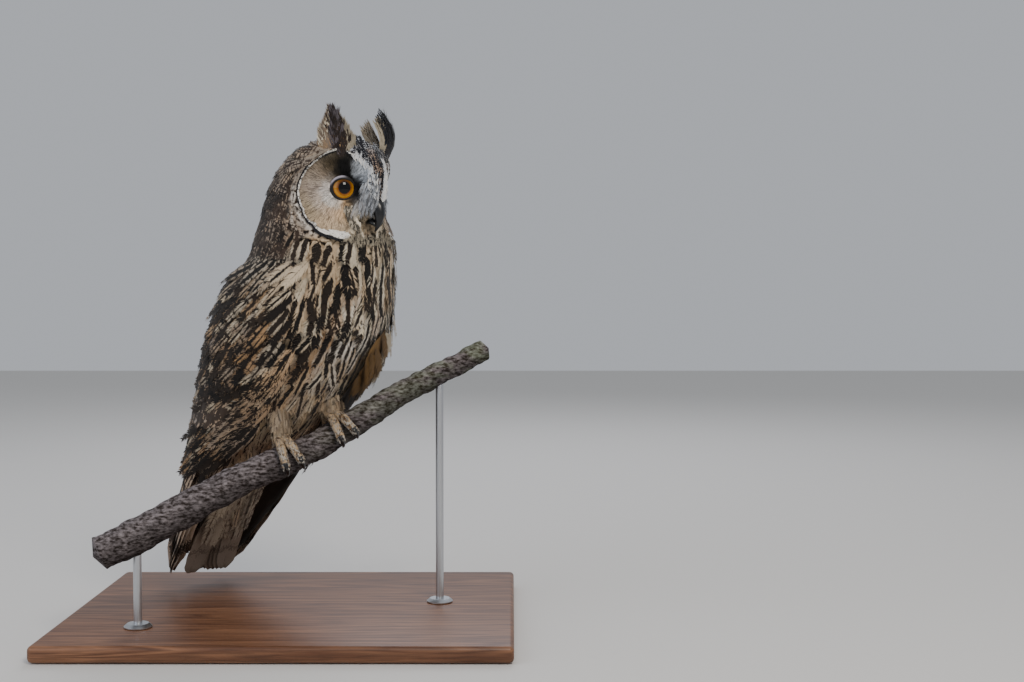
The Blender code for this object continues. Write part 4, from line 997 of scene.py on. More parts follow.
def loreFlow(place, out, down, along):
    # down and a little back from the ridge, over the sides of the bill
    return unit(down * 0.95 + along * np.sign(place[:, :1] + 0.003) * 0.20)


degrees, height = layRows(0.3560, 0.2885, discCoat, (-82, 82))
gap, turn = eyePlane(bodySpot(degrees, height))
keep = (rimShare(degrees, height) < 0.965) & (gap > eyeShape["lidReach"])
keep &= ~onForehead(degrees, height, -1.0) & ((np.abs(degrees) > 3.4) | (height < 0.296))
degrees, height, gap, turn = degrees[keep], height[keep], gap[keep], turn[keep]
rim = rimShare(degrees, height)
grow = (0.55 + 0.45 * smooth(0.010, 0.018, gap)) * (1 - 0.45 * smooth(0.72, 0.95, rim))
size = sizes(len(degrees), discCoat["width"], discCoat["length"]) * grow[:, None] * [1, 1, 0.40]
pale, dark, marks = discTint(degrees, height, bodySpot(degrees, height))
# some stand dark between the others, more of them under the bill side of the eye
deep = draw.uniform(0, 1, len(degrees)) > 0.84 - 0.13 * smooth(-70, -40, turn) * (1 - smooth(60, 80, turn))
pale = pale * np.where(deep, 0.42, draw.uniform(0.80, 1.16, len(degrees)))[:, None]
size[deep] *= [0.45, 1.1, 1.3]
growCoat("facial_discs", sheathRoots(degrees, height, discCoat["depth"], size, (pale, dark, marks), discFlow,
                                     shake=discCoat["shake"]), "wisps", discCoat)

# Longer stiff bristles over the root of the bill
degrees, height = layRows(0.3270, 0.3080, loreCoat, (-19, 19))
keep = np.abs(degrees) > np.interp(height, (0.308, 0.314, 0.3270), (8.5, 2.5, 3.5))
keep &= eyePlane(bodySpot(degrees, height))[0] > 0.0125
degrees, height = degrees[keep], height[keep]
pale, dark, marks = discTint(degrees, height, bodySpot(degrees, height))
grey = tinted("grey", blueWhite=draw.uniform(0, 1, len(degrees)))
grey = grey * np.where(draw.uniform(0, 1, len(degrees)) > 0.68, 0.16, 0.8)[:, None]
size = sizes(len(degrees), loreCoat["width"], loreCoat["length"]) * [1, 1, 0.9]
growCoat("bristles_at_the_bill", sheathRoots(
    degrees, height, loreCoat["depth"], size, (blend(pale, grey, 0.75), dark, marks), loreFlow,
    shake=loreCoat["shake"]), "wisps", loreCoat)

# The rim: a white-speckled line with a black one beside it, and a white crescent low on the inner side
rimCoat = dict(spacing=0.6, width=0.0013, length=0.0034, lift=0.0004, seed=8)


def rimLine(low, high, spacing):
    # turns along the rim on both sides, evenly spread and shaken
    count = int((high - low) / spacing)
    turns = [low + (high - low) * (np.arange(count) + draw.uniform(0, 1, count)) / count for _ in (1, -1)]
    return np.concatenate(turns), np.repeat([1.0, -1.0], count)


def rimFlow(turns, sides, share):
    # along the rim, away from its top
    ahead, behind = (bodySpot(*rimSpot(turns + step, share, sides)) for step in (1.5, -1.5))
    return unit(ahead - behind) * np.where(turns < 95, -1, 1)[:, None]


parts = []
for low, high, inside, outside, layers, colour in (
        (-116, 112, 0.972, 1.000, 1, "white"), (-100, 108, 1.000, 0.966, 1, "black"),
        (-116, -56, 0.938, 0.938, 2, "white"), (-116, -82, 0.900, 0.900, 2, "white"),
        (-115, -92, 0.865, 0.865, 2, "white"), (-113, -99, 0.835, 0.835, 2, "white"),
        (-120, -42, 1.006, 1.006, 2, "black"), (-112, -66, 1.036, 1.036, 2, "black")):
    for layer in range(layers):
        turns, sides = rimLine(low, high, rimCoat["spacing"] * (1 if colour == "white" else 0.8))
        count = len(turns)
        share = (inside + (outside - inside) * smooth(42, 68, turns) + 0.012 * (layer - (layers - 1) / 2)
                 + draw.normal(0, 0.004, count))
        degrees, height = rimSpot(turns, share, sides)
        place, out, _, _ = bodyFrame(degrees, height, rimCoat["lift"])
        lie = swayed(rimFlow(turns, sides, rimShare(degrees, height)), out, 0.10)
        speck = draw.uniform(0, 1, count)
        if colour == "white":
            thick = 1 - smooth(-86, -60, turns)
            pale = tinted("white", black=smooth(0.52 + 0.36 * thick, 0.56 + 0.38 * thick, speck) * 0.85)
            pale = pale * (0.9 + 0.2 * draw.uniform(0, 1, count))[:, None]
            colours = (pale, pale * 0.3, (0.05, 0, 0))
        else:
            pale = tinted("black", blueBlack=speck)
            colours = (pale, pale, (0.3, 0, 0))
        size = sizes(count, rimCoat["width"] * (0.8 if colour == "black" else 1.0), rimCoat["length"])
        parts.append(rootSet(place, out, lie, size * [1, 1, 0.35], colours, skinUv(degrees, height)))

# a dark edge runs on from the rim under the chin
bibCount = 560
turns = np.linspace(-30, 30, bibCount) + draw.uniform(-0.4, 0.4, bibCount)
heights = (0.2886 + 0.0017 * draw.normal(0, 1, bibCount) + 0.0007 * np.sin(turns / 3.1)
           + 0.0010 * smooth(15, 40, np.abs(turns)))
pale = tinted("black", cream=(draw.uniform(0, 1, bibCount) > 0.35) * 0.5)
size = sizes(bibCount, 0.0015, 0.0034) * [1, 1, 0.25]
parts.append(sheathRoots(turns, heights, -0.0006, size, (pale, tint["black"], (0.2, 0, 0)), relief=0.0))

# a pale line runs from under the eye down beside the gape, with dark streaks behind it
gapeCount = 420
gapeShare = draw.uniform(0, 1, gapeCount)
for way in (1, -1):
    turns = np.interp(gapeShare, (0, 0.35, 0.65, 1), (19.5, 16.5, 12.5, 7.5))
    heights = np.interp(gapeShare, (0, 0.35, 0.65, 1), (0.3115, 0.3040, 0.2980, 0.2915))
    behind = draw.uniform(0, 1, gapeCount) > 0.45
    turns = turns + np.where(behind, draw.uniform(1.5, 7.0, gapeCount), draw.normal(0, 0.3, gapeCount))
    shade = np.where(behind, np.where(draw.uniform(0, 1, gapeCount) > 0.32, 0.10, 0.60), 0.95)[:, None]
    colour = tint["gapeLine"] * shade * draw.uniform(0.85, 1.1, (gapeCount, 1))
    size = sizes(gapeCount, 0.0011, 0.0046) * [1, 1, 0.35]
    parts.append(sheathRoots(turns * way, heights, -0.0005, size, (colour, colour * 0.4, (0.05, 0, 0)),
                             shake=0.14))
    # and a white line stands along the edge of the brow
    count, spread = (110, 1.4) if way > 0 else (420, 0.6)
    heights = draw.uniform(0.314, 0.346, count)
    turns = way * (fanEdge(way * np.ones(count), heights) + 1.0) + draw.normal(0, spread, count)
    colour = tinted("white", blueWhite=draw.uniform(0, 1, count))
    size = sizes(count, 0.0012, 0.0044) * [1, 1, 0.7]
    parts.append(sheathRoots(turns, heights, -0.0007, size, (colour, colour * 0.5, (0.05, 0, 0)),
                             foreheadFlow, shake=0.30))
growCoat("rim_of_the_discs", joined(parts), "wisps", rimCoat)


# Wing and tail: long vanes in tiers, each one bent over the folded wing's form
vaneGrid = dict(across=8, along=22, cup=0.0009, fray=0.05)
vaneShares = np.linspace(0, 1, vaneGrid["along"] + 1)


def newStore():
    return {key: [] for key in ("places", "faces", "vane", "bake", "pale", "dark", "marks")}


def layVane(store, middle, across, out, halfWidths, colours, rootUv):
    # one long feather: a curved grid with a raised shaft, and edges that part a little
    n, m = len(middle), vaneGrid["across"]
    first = len(store["places"])
    phase = draw.uniform(0, 7, 3)
    for k in range(n):
        t = k / (n - 1)
        fray = 1 + vaneGrid["fray"] * (math.sin(23 * t + phase[0]) + 0.6 * math.sin(41 * t + phase[1])) * t
        run = unit(middle[min(k + 1, n - 1)] - middle[max(k - 1, 0)])
        for a in np.linspace(-1, 1, m + 1):
            arch = -vaneGrid["cup"] * a * a * (1 - 0.5 * t) + 0.00022 * math.exp(-(a / 0.12) ** 2)
            arch += 0.00016 * math.sin(31 * t + 5 * abs(a) + phase[2])
            slant = 0.16 * abs(a) * halfWidths[k] * 2
            spread = across[k] * a * halfWidths[k] * fray
            store["places"].append(middle[k] + spread + out[k] * arch + run * slant)
            store["vane"].append((0.5 + 0.5 * a, t))
            store["bake"].append((rootUv[0] + 0.0015 * a, rootUv[1] + (t - 0.5) * 0.003))
            for key, value in zip(("pale", "dark", "marks"), colours):
                store[key].append(value)
    for k in range(n - 1):
        for a in range(first + k * (m + 1), first + k * (m + 1) + m):
            store["faces"].append((a, a + 1, a + m + 2, a + m + 1))


def vanePiece(name, store, finish, replaced):
    piece = newPiece(name, store["places"], store["faces"],
                     uvs={"OFBake": store["bake"], "Vane": store["vane"]},
                     colours={key: np.array(store[key]) for key in ("pale", "dark")},
                     vectors={"marks": store["marks"]}, finish=finish)
    settle(piece, replaced)
    print(f"{name}: {2 * len(store['faces'])} triangles")


def wingUv(side, degrees, height):
    across = 0.04 + 0.42 * (degrees - 40) / 140 + (0.5 if side < 0 else 0)
    return columns(across, 0.04 + 0.92 * (0.28 - height) / 0.26, 0.0)


# start and end rows: angle back from straight ahead and height, then count, half width, lift at root and tip
flightTiers = dict(
    primaries=dict(root=((50, 0.150), (124, 0.150)), tip=((86, 0.0270), (177, 0.0400)), count=15,
                   half=0.0092, lift=(-0.0060, -0.0006), bow=4, dip=0.004, layer=0.0009,
                   width=((0, .5), (.5, 1), (.85, .9), (1, .3))),
    secondaries=dict(root=((76, 0.168), (158, 0.176)), tip=((104, 0.0860), (166, 0.1080)), count=13,
                     half=0.0085, lift=(-0.0026, 0.0006), bow=4, dip=0, layer=0.0005,
                     width=((0, .6), (.5, 1), (.9, .85), (1, .3))),
    greater=dict(root=((48, 0.208), (132, 0.210)), tip=((60, 0.1480), (140, 0.1540)), count=13,
                 half=0.0072, lift=(-0.0010, 0.0010), bow=3, dip=0, layer=0.0005,
                 width=((0, .6), (.5, 1), (.88, .8), (1, .2))))


def layTier(store, side, name, tier):
    t = vaneShares
    for i in range(tier["count"]):
        share = i / (tier["count"] - 1)
        root, tip = (np.array(tier[key]).T @ [1 - share, share] for key in ("root", "tip"))
        dip = tier["dip"] * math.sin(math.pi * min(1, share * 2.6))
        tip = tip + [draw.uniform(-1.2, 1.2), draw.uniform(-0.002, 0.002) - dip]
        angle = root[0] + (tip[0] - root[0]) * t + tier["bow"] * np.sin(math.pi * t)
        height = root[1] + (tip[1] - root[1]) * t
        lift = tier["lift"][0] + (tier["lift"][1] - tier["lift"][0]) * t + tier["layer"] * (share - 0.5) * 2
        middle = wingSpot(side, angle, height, lift)
        over = wingSpot(side, angle + 1, height, lift) - wingSpot(side, angle - 1, height, lift)
        run = np.gradient(middle, axis=0)
        out = unit(np.cross(over, run)) * side
        across = unit(np.cross(run, out)) * side
        wide = tier["half"] * np.interp(t, *np.array(tier["width"]).T) * draw.uniform(0.94, 1.05)
        pale = tinted("greyBuff", buff=draw.uniform(0.0, 0.5))
        dark = tinted("darkBrown", brown=draw.uniform(0, 0.6))
        marks = (0.74 + draw.uniform(-0.1, 0.1), 0.30 + draw.uniform(-0.08, 0.08), 0.06)
        if side < 0 and share < 0.20 and name == "greater":
            pale, marks = tint["rufous"], (0.10, 0.16, 0.10)
        layVane(store, middle, across - out * 0.0007 * side, out, wide, (pale, dark, marks),
                wingUv(side, root[0], root[1]))


# shade is a painted shade that darkens the coverts' pale colour
wingCoat = dict(top=0.2745, bottom=0.1330, rows=0.0070, across=0.0062, width=0.0102, length=0.0275,
                lift=0.0004, radius=0.065, shade=0.70, seed=11, rise=0.5)
wingPlate = dict(top=0.262, bottom=0.120, across=25, front=50, back=158, depth=0.0034)


def farEdge(height):
    # the left wing's front edge comes further round the flank below the wrist, in degrees
    return 17 + 31 * smooth(0.208, 0.238, height)


def layPlate(store, side):
    # a dark plate under the vanes closes the wing from within
    first, many = len(store["places"]), wingPlate["across"]
    for height in np.linspace(wingPlate["top"], wingPlate["bottom"], many):
        front = wingPlate["front"] if side > 0 else farEdge(height) + 1
        for turn in np.linspace(front, wingPlate["back"], many):
            warm = side < 0 and turn < 95 and height > 0.182
            colours = ("rufous", "rufous") if warm else ("brown", "darkBrown")
            for key, value in (
                    ("places", wingSpot(side, turn, height, -wingPlate["depth"])), ("vane", (0.5, 0.2)),
                    ("bake", wingUv(side, turn, height)[:2]), ("pale", tint[colours[0]]),
                    ("dark", tint[colours[1]]), ("marks", (0.3, 0.3, 0))):
                store[key].append(value)
    for row in range(first, first + (many - 1) * many, many):
        for a in range(row, row + many - 1):
            quad = (a, a + 1, a + many + 1, a + many)
            store["faces"].append(quad if side < 0 else quad[::-1])


def covertRows(side):
    # offset rows of the smaller coverts and scapulars on one wing: angles and heights
    angles, heights = [], []
    height, row = wingCoat["top"], 0
    while height > wingCoat["bottom"]:
        low, high = (46 + 4 * smooth(0.16, 0.2, 0.36 - height) if side > 0 else farEdge(height)), 168
        count = int(math.radians(high - low) * wingCoat["radius"] / wingCoat["across"])
        step = np.arange(count) + 0.5 * (row % 2) + draw.uniform(-.48, .48, count)
        angles.append(low + (high - low) * step / count)
        heights.append(height + draw.uniform(-.5, .5, count) * wingCoat["rows"])
        height -= wingCoat["rows"]
        row += 1
    return np.concatenate(angles), np.concatenate(heights)


for side, word in ((1, "right"), (-1, "left")):
    store = newStore()
    for name, tier in flightTiers.items():
        layTier(store, side, name, tier)
    layPlate(store, side)
    vanePiece("wing_vanes_" + word, store, stiffFeather, ("wing_" + word,))

    # soft and spotted; one in three is mostly pale: a long spot; towards the back they are greyer
    angles, heights = covertRows(side)
    count = len(angles)
    place = wingSpot(side, angles, heights, wingCoat["lift"] - 0.0022)
    out, lie = wingLie(side, angles, heights, 1.2, 0.002)
    shoulder = np.exp(-((angles - 146 + 90 * (0.25 - heights)) / 5.0) ** 2)
    edge = np.maximum(1 - smooth(48, 53, angles), shoulder * 0.8)
    spotted = draw.uniform(0, 1, count)
    rearward = smooth(100, 140, angles)
    pale = tinted("buff", greyBuff=draw.uniform(0, 1, count),
                  cream=np.maximum(edge * 0.5, smooth(0.75, 0.95, spotted) * 0.7), grey=rearward * 0.6,
                  tan=(1 - rearward) * smooth(0.5, 0.9, patches(place, 0.02, 31)) * 0.55)
    dark = tinted("darkBrown", black=draw.uniform(0, 1, count), brown=smooth(110, 140, angles) * 0.45)
    cluster = patches(place, 0.030, 33)
    longSpot = spotted > 0.93 - 0.40 * cluster
    streak = np.clip(draw.normal(0.84, 0.12, count) - 0.22 * cluster, 0.2, 0.98) - 0.15 * edge
    streak = np.where(longSpot, draw.uniform(0.10, 0.34, count), streak)
    marks = columns(streak, np.clip(draw.normal(0.14, 0.09, count), 0, 0.4),
                    0.06 + 0.14 * draw.uniform(0, 1, count))
    if side < 0:
        # the far wing's front edge shows ochre beside the belly
        warm = (1 - smooth(50, 58, angles)) * (1 - smooth(0.232, 0.246, heights))
        pale = tinted(pale, rufous=warm, cream=smooth(27, 31, angles) * (1 - smooth(45, 49, angles)) * 0.7
                      * (heights < 0.24))
        marks[:, 0] = np.where(warm > 0.2, 0.04 + 0.95 * (1 - smooth(0.178, 0.188, heights)), marks[:, 0])
        marks[:, 1] *= 1 - 0.8 * warm
    # the top rows take the neck's own colours
    upper = (smooth(0.262, 0.272, heights) * (1 - 0.6 * smooth(100, 140, angles)))[:, None]
    neck = bodyTint(side * angles, heights, wingSpot(side, angles, heights))
    # painted shade: the coverts' own pale colour is darkened by the coat's shade
    colours = [own + (near - own) * upper for own, near in zip((pale * wingCoat["shade"], dark, marks), neck)]
    size = sizes(count, wingCoat["width"], wingCoat["length"])
    lowly = 1 - smooth(0.150, 0.185, heights)
    size[:, :2] *= columns(1 - 0.22 * lowly, 1 + 0.40 * lowly)
    size[longSpot] *= [0.66, 1.12, 1]
    growCoat("wing_coverts_" + word, rootSet(place, out, lie, size, colours, wingUv(side, angles, heights)),
             "plumes", wingCoat)

# Tail: twelve vanes, the middle ones on top
# shade is a painted shade that darkens the tail vanes and the tail coverts
tailShape = dict(root=(0, -0.0965, 0.1045), tip=(0, -0.1510, 0.0215), count=12, rootSpread=0.0090,
                 tipSpread=0.0170, half=0.0098, layer=0.0015, bow=0.002, shade=0.66,
                 width=((0, .5), (.6, 1), (.92, .85), (1, .25)))
store = newStore()
root, tip = np.array(tailShape["root"]), np.array(tailShape["tip"])
way, right = unit(tip - root), np.array([1.0, 0, 0])
reach = np.linalg.norm(tip - root)
dorsal = np.array([0, way[2], -way[1]])
t = np.linspace(-0.06, 1, vaneGrid["along"] + 1)
wide = tailShape["half"] * np.interp(t, *np.array(tailShape["width"]).T)
for i in range(tailShape["count"]):
    place = (i - (tailShape["count"] - 1) / 2) / (tailShape["count"] / 2)
    depth = tailShape["layer"] * ((0.5 - abs(place)) * tailShape["count"] / 2 + 0.5 * (place > 0))
    full = reach * (1 - 0.05 * place * place) * draw.uniform(0.985, 1.0)
    aside = place * (tailShape["rootSpread"] + (tailShape["tipSpread"] - tailShape["rootSpread"]) * t)
    bow = depth + tailShape["bow"] * np.sin(math.pi * np.clip(t, 0, 1))
    middle = root + way * full * t[:, None] + dorsal * bow[:, None] + right * aside[:, None]
    # painted shade darkens each vane's tone
    tone = tinted("greyBuff", cream=draw.uniform(0.05, 0.35)) * tailShape["shade"]
    marks = (draw.uniform(0, 0.07), 0.05 + draw.uniform(0, 0.10), 0.05)
    layVane(store, middle, np.tile(right, (len(t), 1)), np.tile(dorsal, (len(t), 1)), wide,
            (tone, tint["brown"], marks), (0.1 + 0.8 * i / 12, 0.2))
vanePiece("tail_vanes", store, stiffFeather, ("tail",))

# soft pale feathers lie over the root of the tail, above and below it
tailCoverts = dict(count=130, width=0.0105, length=0.0300, reach=0.46, seed=15, rise=0.6)
count = tailCoverts["count"]
under = np.where(np.arange(count) % 2 == 0, -1.0, 1.0)[:, None]
share = draw.uniform(0.0, tailCoverts["reach"], count)[:, None]
aside = draw.uniform(-1, 1, count)[:, None] * (0.0150 + 0.010 * share)
above = under * (0.0098 - 0.006 * share)
place = root + way * (reach * (share - 0.10)) + dorsal * above + right * aside
lie = unit(way + right * draw.normal(0, 0.10, (count, 1)) - dorsal * (under * 0.06))
out = unit(dorsal * under + right * (aside * 30))
pale = tinted("cream", greyBuff=draw.uniform(0.2, 0.9, count), brown=(under[:, 0] > 0) * 0.5)
# painted shade darkens the coverts as it does the tail
pale = pale * tailShape["shade"]
size = sizes(count, tailCoverts["width"], tailCoverts["length"]) * [1, 1, 0.35]
marks = columns(draw.uniform(0, 0.3, count), draw.uniform(0, 0.25, count), 0.0)
rootUv = columns(0.1 + 0.8 * draw.uniform(0, 1, count), 0.6 + 0.3 * share[:, 0], 0.0)
growCoat("tail_coverts", rootSet(place, out, lie, size, (pale, tint["brown"], marks), rootUv),
         "plumes", tailCoverts)


# Glass eyes: one clear-coated ball each, with a painted iris and pupil that its fibres blur, in a dark lid
glass, glassTree, glassShader = newMaterial("Blown glass eye with a painted iris", 0.08, {
    "Coat Weight": 0.38, "Coat Roughness": 0.02, "Specular IOR Level": 0.1})
spin = addNode(glassTree, "ShaderNodeSeparateXYZ", None, {
    "Vector": addNode(glassTree, "ShaderNodeUVMap", {"uv_map": "Iris"}).outputs["UV"]}).outputs
fibre = addNode(glassTree, "ShaderNodeTexNoise", None, {
    "Vector": addNode(glassTree, "ShaderNodeTexCoord").outputs["Object"], "Scale": 1 / 0.0011, "Detail": 4.0})
shaken = addNode(glassTree, "ShaderNodeMath", {"operation": "MULTIPLY_ADD"}, {
    0: fibre.outputs[0], 1: 0.05, 2: spin["Y"]})
ramp = addNode(glassTree, "ShaderNodeValToRGB", None, {"Fac": shaken.outputs[0]})
edge = eyeShape["pupil"] / 90 + 0.025
ramp.color_ramp.elements[0].position = edge - 0.012
ramp.color_ramp.elements[0].color = (0.002, 0.002, 0.003, 1)
ramp.color_ramp.elements[1].position = edge + 0.012
ramp.color_ramp.elements[1].color = (*linear("6a3a08"), 1)
for place, colour in ((edge + 0.07, "93580f"), (edge + 0.18, "bd8424"), (0.56, "ad7620"), (0.60, "6f410c"),
                      (0.64, "120c08")):
    ramp.color_ramp.elements.new(place).color = (*linear(colour), 1)
# painted shade of the upper lid: the iris is darker at the top
turned = addNode(glassTree, "ShaderNodeMath", {"operation": "MULTIPLY"}, {0: spin["X"], 1: 2 * math.pi})
risen = addNode(glassTree, "ShaderNodeMath", {"operation": "SINE"}, {0: turned.outputs[0]})
shade = addNode(glassTree, "ShaderNodeMapRange", None, {
    "Value": risen.outputs[0], "From Min": -0.6, "From Max": 1.0, "To Min": 1.15, "To Max": 0.22})
irisUnderPaintedShade = addNode(glassTree, "ShaderNodeMix", {"data_type": "RGBA", "blend_type": "MULTIPLY"}, {
    0: 1.0, 6: ramp.outputs["Color"], 7: shade.outputs[0]})
glassTree.links.new(irisUnderPaintedShade.outputs[2], glassShader.inputs["Base Color"])
# dull skin with the lid's own black and grey, so that the eye is set in a soft dark edge
lidSkin, lidTree, lidShader = newMaterial("Dark bare eyelid", 0.55, {"Specular IOR Level": 0.35})
lidTree.links.new(addNode(lidTree, "ShaderNodeAttribute", {"attribute_name": "pale"}).outputs["Color"],
                  lidShader.inputs["Base Color"])
# each row of the lid: how far outside its opening in degrees, and how high over the ball
lidRows = [(-1.0, 0.00008), (0.0, 0.00060), (3.0, 0.00100), (6.0, 0.00115), (8.0, 0.00122), (11.0, 0.00130),
           (15.0, 0.00135), (24.0, 0.0014), (34.0, 0.0014), (44.0, 0.0010), (56.0, 0.0004)]


def ballRing(middle, look, radius, angle):
    # one ring of a ball round its look axis, at an angle in degrees from the axis
    side = unit(np.cross((0, 0, 1), look))
    turn = (2 * math.pi * np.arange(eyeShape["around"]) / eyeShape["around"])[:, None]
    wide = np.radians(np.broadcast_to(angle, len(turn)))[:, None]
    way = look * np.cos(wide) + (side * np.cos(turn) + np.cross(look, side) * np.sin(turn)) * np.sin(wide)
    return list(middle + way * radius)


def ringFaces(rings, around):
    return [(a + k, a + around + k, a + around + (k + 1) % around, a + (k + 1) % around)
            for a in range(0, (rings - 1) * around, around) for k in range(around)]


for side, word in ((1, "right"), (-1, "left")):
    middle, look = eyePlace(side)
    around, radius = eyeShape["around"], eyeShape["radius"]
    angles = np.linspace(0, 180, eyeShape["rings"] + 1)[1:-1]
    places = [place for angle in angles for place in ballRing(middle, look, radius, angle)]
    uvs = [(k / around, min(angle / 90, 1)) for angle in angles for k in range(around)] + [(0.5, 0), (0.5, 1)]
    front, back, last = len(places), len(places) + 1, len(places) - around
    places += [middle + look * radius, middle - look * radius]
    faces = ringFaces(len(angles), around) + [(front, k, (k + 1) % around) for k in range(around)]
    faces += [(last + (k + 1) % around, last + k, back) for k in range(around)]
    eye = newPiece("eye_glass_" + word, places, faces, uvs={"Iris": uvs}, finish=glass)
    settle(eye, ("eye_" + word,))

    # the lid: a dark rolled rim, with a grey crescent at its upper outer part
    turn = np.arange(around) * 2 * math.pi / around
    inner, top = np.cos(turn) * side, np.sin(turn)
    opening = eyeShape["lidInner"] - 15.0 * np.clip(top, 0, 1) ** 1.5 - 4.0 * np.clip(inner, 0, 1)
    crescent = np.exp(-((np.degrees(np.arctan2(top, -inner)) - 55) / 40.0) ** 4)
    places, colours = [], []
    for more, lift in lidRows:
        places += ballRing(middle, look, radius + lift, opening + more)
        colours.append(tinted("black", lilac=smooth(5.0, 7.0, more) * crescent * 1.2))
    lid = newPiece("eyelid_" + word, places, ringFaces(len(lidRows), around),
                   colours={"pale": np.concatenate(colours)}, finish=lidSkin)
    settle(lid, ())
print("eyes and lids: done")


# Bill: horn, hooked, with the mouth line between its halves; each row is ahead, height and share of the width
billShape = dict(width=0.0110, sides=28, steps=30,
                 upper=((.0385, .3122, 1), (.0443, .3130, 1), (.0483, .3105, .92), (.0503, .3060, .74),
                        (.0503, .3015, .52), (.0486, .2970, .30), (.0460, .2935, .08)),
                 lower=((.0378, .3010, .85), (.0423, .3005, .80), (.0458, .2988, .58), (.0478, .2965, .18)))
# near-black horn, faintly clouded at 4 mm, polished enough to catch the light on its ridge
horn, hornTree, hornShader = newMaterial("Polished grey-black horn", 0.30, {"Specular IOR Level": 0.5})
cloud = addNode(hornTree, "ShaderNodeTexNoise", None, {
    "Vector": addNode(hornTree, "ShaderNodeTexCoord").outputs["Object"], "Scale": 1 / 0.004, "Detail": 3.0})
hornMix = addNode(hornTree, "ShaderNodeMix", {"data_type": "RGBA"}, {
    0: cloud.outputs[0], 6: "08090a", 7: "1b1d21"})
hornTree.links.new(hornMix.outputs[2], hornShader.inputs["Base Color"])
for name, deep, broad in (("upper", 1.0, 1.0), ("lower", 0.55, 0.8)):
    route = alongRoute(np.array(billShape[name], float), np.linspace(0, 1, billShape["steps"]))
    places, sides = [], billShape["sides"]
    for (ahead, height, share), run in zip(route, unit(np.gradient(route[:, :2], axis=0))):
        half = billShape["width"] / 2 * max(share, 0.03)
        for k in range(sides):
            turn = 2 * math.pi * k / sides
            rise = math.cos(turn) * half * deep * (1 + 0.10 * math.cos(turn))
            pinch = 1 - 0.16 * max(0, math.cos(turn)) ** 2
            aside = math.sin(turn) * half * broad * pinch
            places.append(headSpot(aside, ahead - run[1] * rise, height + run[0] * rise))
    faces = [face[::-1] for face in ringFaces(billShape["steps"], sides)]
    faces += [tuple(range(sides)), tuple(len(places) - 1 - k for k in range(sides))]
    settle(newPiece("bill_horn_" + name, places, faces, finish=horn), ("bill_" + name,))

# Claws: slender and dark, one on each toe
for side, number, spots, radii in clawRoutes:
    word = "right" if side > 0 else "left"
    places, faces, _ = tubeShell(spots, np.maximum(radii, 0.00012), 16)
    claw = newPiece(f"claw_horn_{word}_{number}", places, faces, finish=horn)
    settle(claw, (f"claw_{word}_{number}",))
print("bill and claws: done")


# Perch: a cut branch with rough lichened bark, roughened at 16, 6 and 2.5 mm
barkShape = dict(around=72, along=300, keep=0.0006,
                 rough=((0.016, 0.0007), (0.006, 0.00045), (0.0025, 0.00028)))
line = alongRoute(branchRoute, np.linspace(0, 1, barkShape["along"]))
places, faces, ways = tubeShell(line[:, :3], line[:, 3] - barkShape["keep"], barkShape["around"])
places, ways = np.array(places), np.array(ways)
for size, depth in barkShape["rough"]:
    rough = patches(places * [0.55, 1, 1], size, int(size * 1e4)) - 0.5
    places = places + ways * (rough * 2 * depth)[:, None]
# grey-brown flakes of 2 mm, mossy in places of 9 mm, drawn out along the branch, with painted light on its
# top and painted shade below
bark, barkTree, barkShader = newMaterial("Rough bark with lichen", 0.9, {"Specular IOR Level": 0.2})
onBark = addNode(barkTree, "ShaderNodeTexCoord").outputs["Object"]
alongBark = addNode(barkTree, "ShaderNodeVectorMath", {"operation": "MULTIPLY"}, {
    0: onBark, 1: (0.45, 0.45, 1.0)})
fine, broad = (addNode(barkTree, "ShaderNodeTexNoise", None, {
    "Vector": alongBark.outputs[0], "Scale": 1 / size, "Detail": detail, "Roughness": roughness}).outputs[0]
    for size, detail, roughness in ((0.0018, 6.0, 0.62), (0.009, 4.0, 0.5)))


def barkMix(under, over, source, low, high):
    reach = addNode(barkTree, "ShaderNodeMapRange", None, {
        "Value": source, "From Min": low, "From Max": high})
    return addNode(barkTree, "ShaderNodeMix", {"data_type": "RGBA"}, {
        0: reach.outputs[0], 6: under, 7: over}).outputs[2]


flecks = barkMix("261f1c", "7f7778", fine, 0.40, 0.68)
mossy = barkMix("33301f", "7d8276", fine, 0.38, 0.66)
eastward = addNode(barkTree, "ShaderNodeSeparateXYZ", None, {"Vector": onBark}).outputs["X"]
mixed = barkMix(flecks, barkMix(flecks, mossy, broad, 0.40, 0.56), eastward, 0.0, 0.12)
# the bark's colour is multiplied by painted light and shade, stored on each point
weather = addNode(barkTree, "ShaderNodeAttribute", {"attribute_name": "weather"}).outputs["Fac"]
barkUnderPaintedLight = addNode(barkTree, "ShaderNodeMix", {"data_type": "RGBA", "blend_type": "MULTIPLY"}, {
    0: 1.0, 6: mixed, 7: weather})
barkTree.links.new(barkUnderPaintedLight.outputs[2], barkShader.inputs["Base Color"])
barkBump = addNode(barkTree, "ShaderNodeBump", None, {"Height": fine, "Strength": 0.5, "Distance": 0.0006})
barkTree.links.new(barkBump.outputs[0], barkShader.inputs["Normal"])
# painted light and shade: the bark is lighter on the branch's upward side and darker below, patchy at 12 mm
lit = 0.55 + 0.75 * smooth(-0.6, 0.9, ways[:, 2] + 0.6 * (patches(places, 0.012, 41) - 0.5))
settle(newPiece("perch_branch", toOwl(places), faces, colours={"weather": np.tile(lit[:, None], (1, 3))},
                finish=bark), ("perch",))
print("perch: done")


# Ear tufts: a scoop of feathers, buff behind, black in the middle and cream in front, with loose edges
tuftShape = dict(aside=0.0229, ahead=0.0320, base=0.3515, sunk=0.0065, count=15, reach=0.0088, bulge=0.0034,
                 half=0.0040, length=0.0312, tipShift=-0.0038, belly=0.0036, bow=0.0022, seed=9,
                 width=((0, .8), (.36, 1), (.66, .80), (.86, .42), (1, .04)))


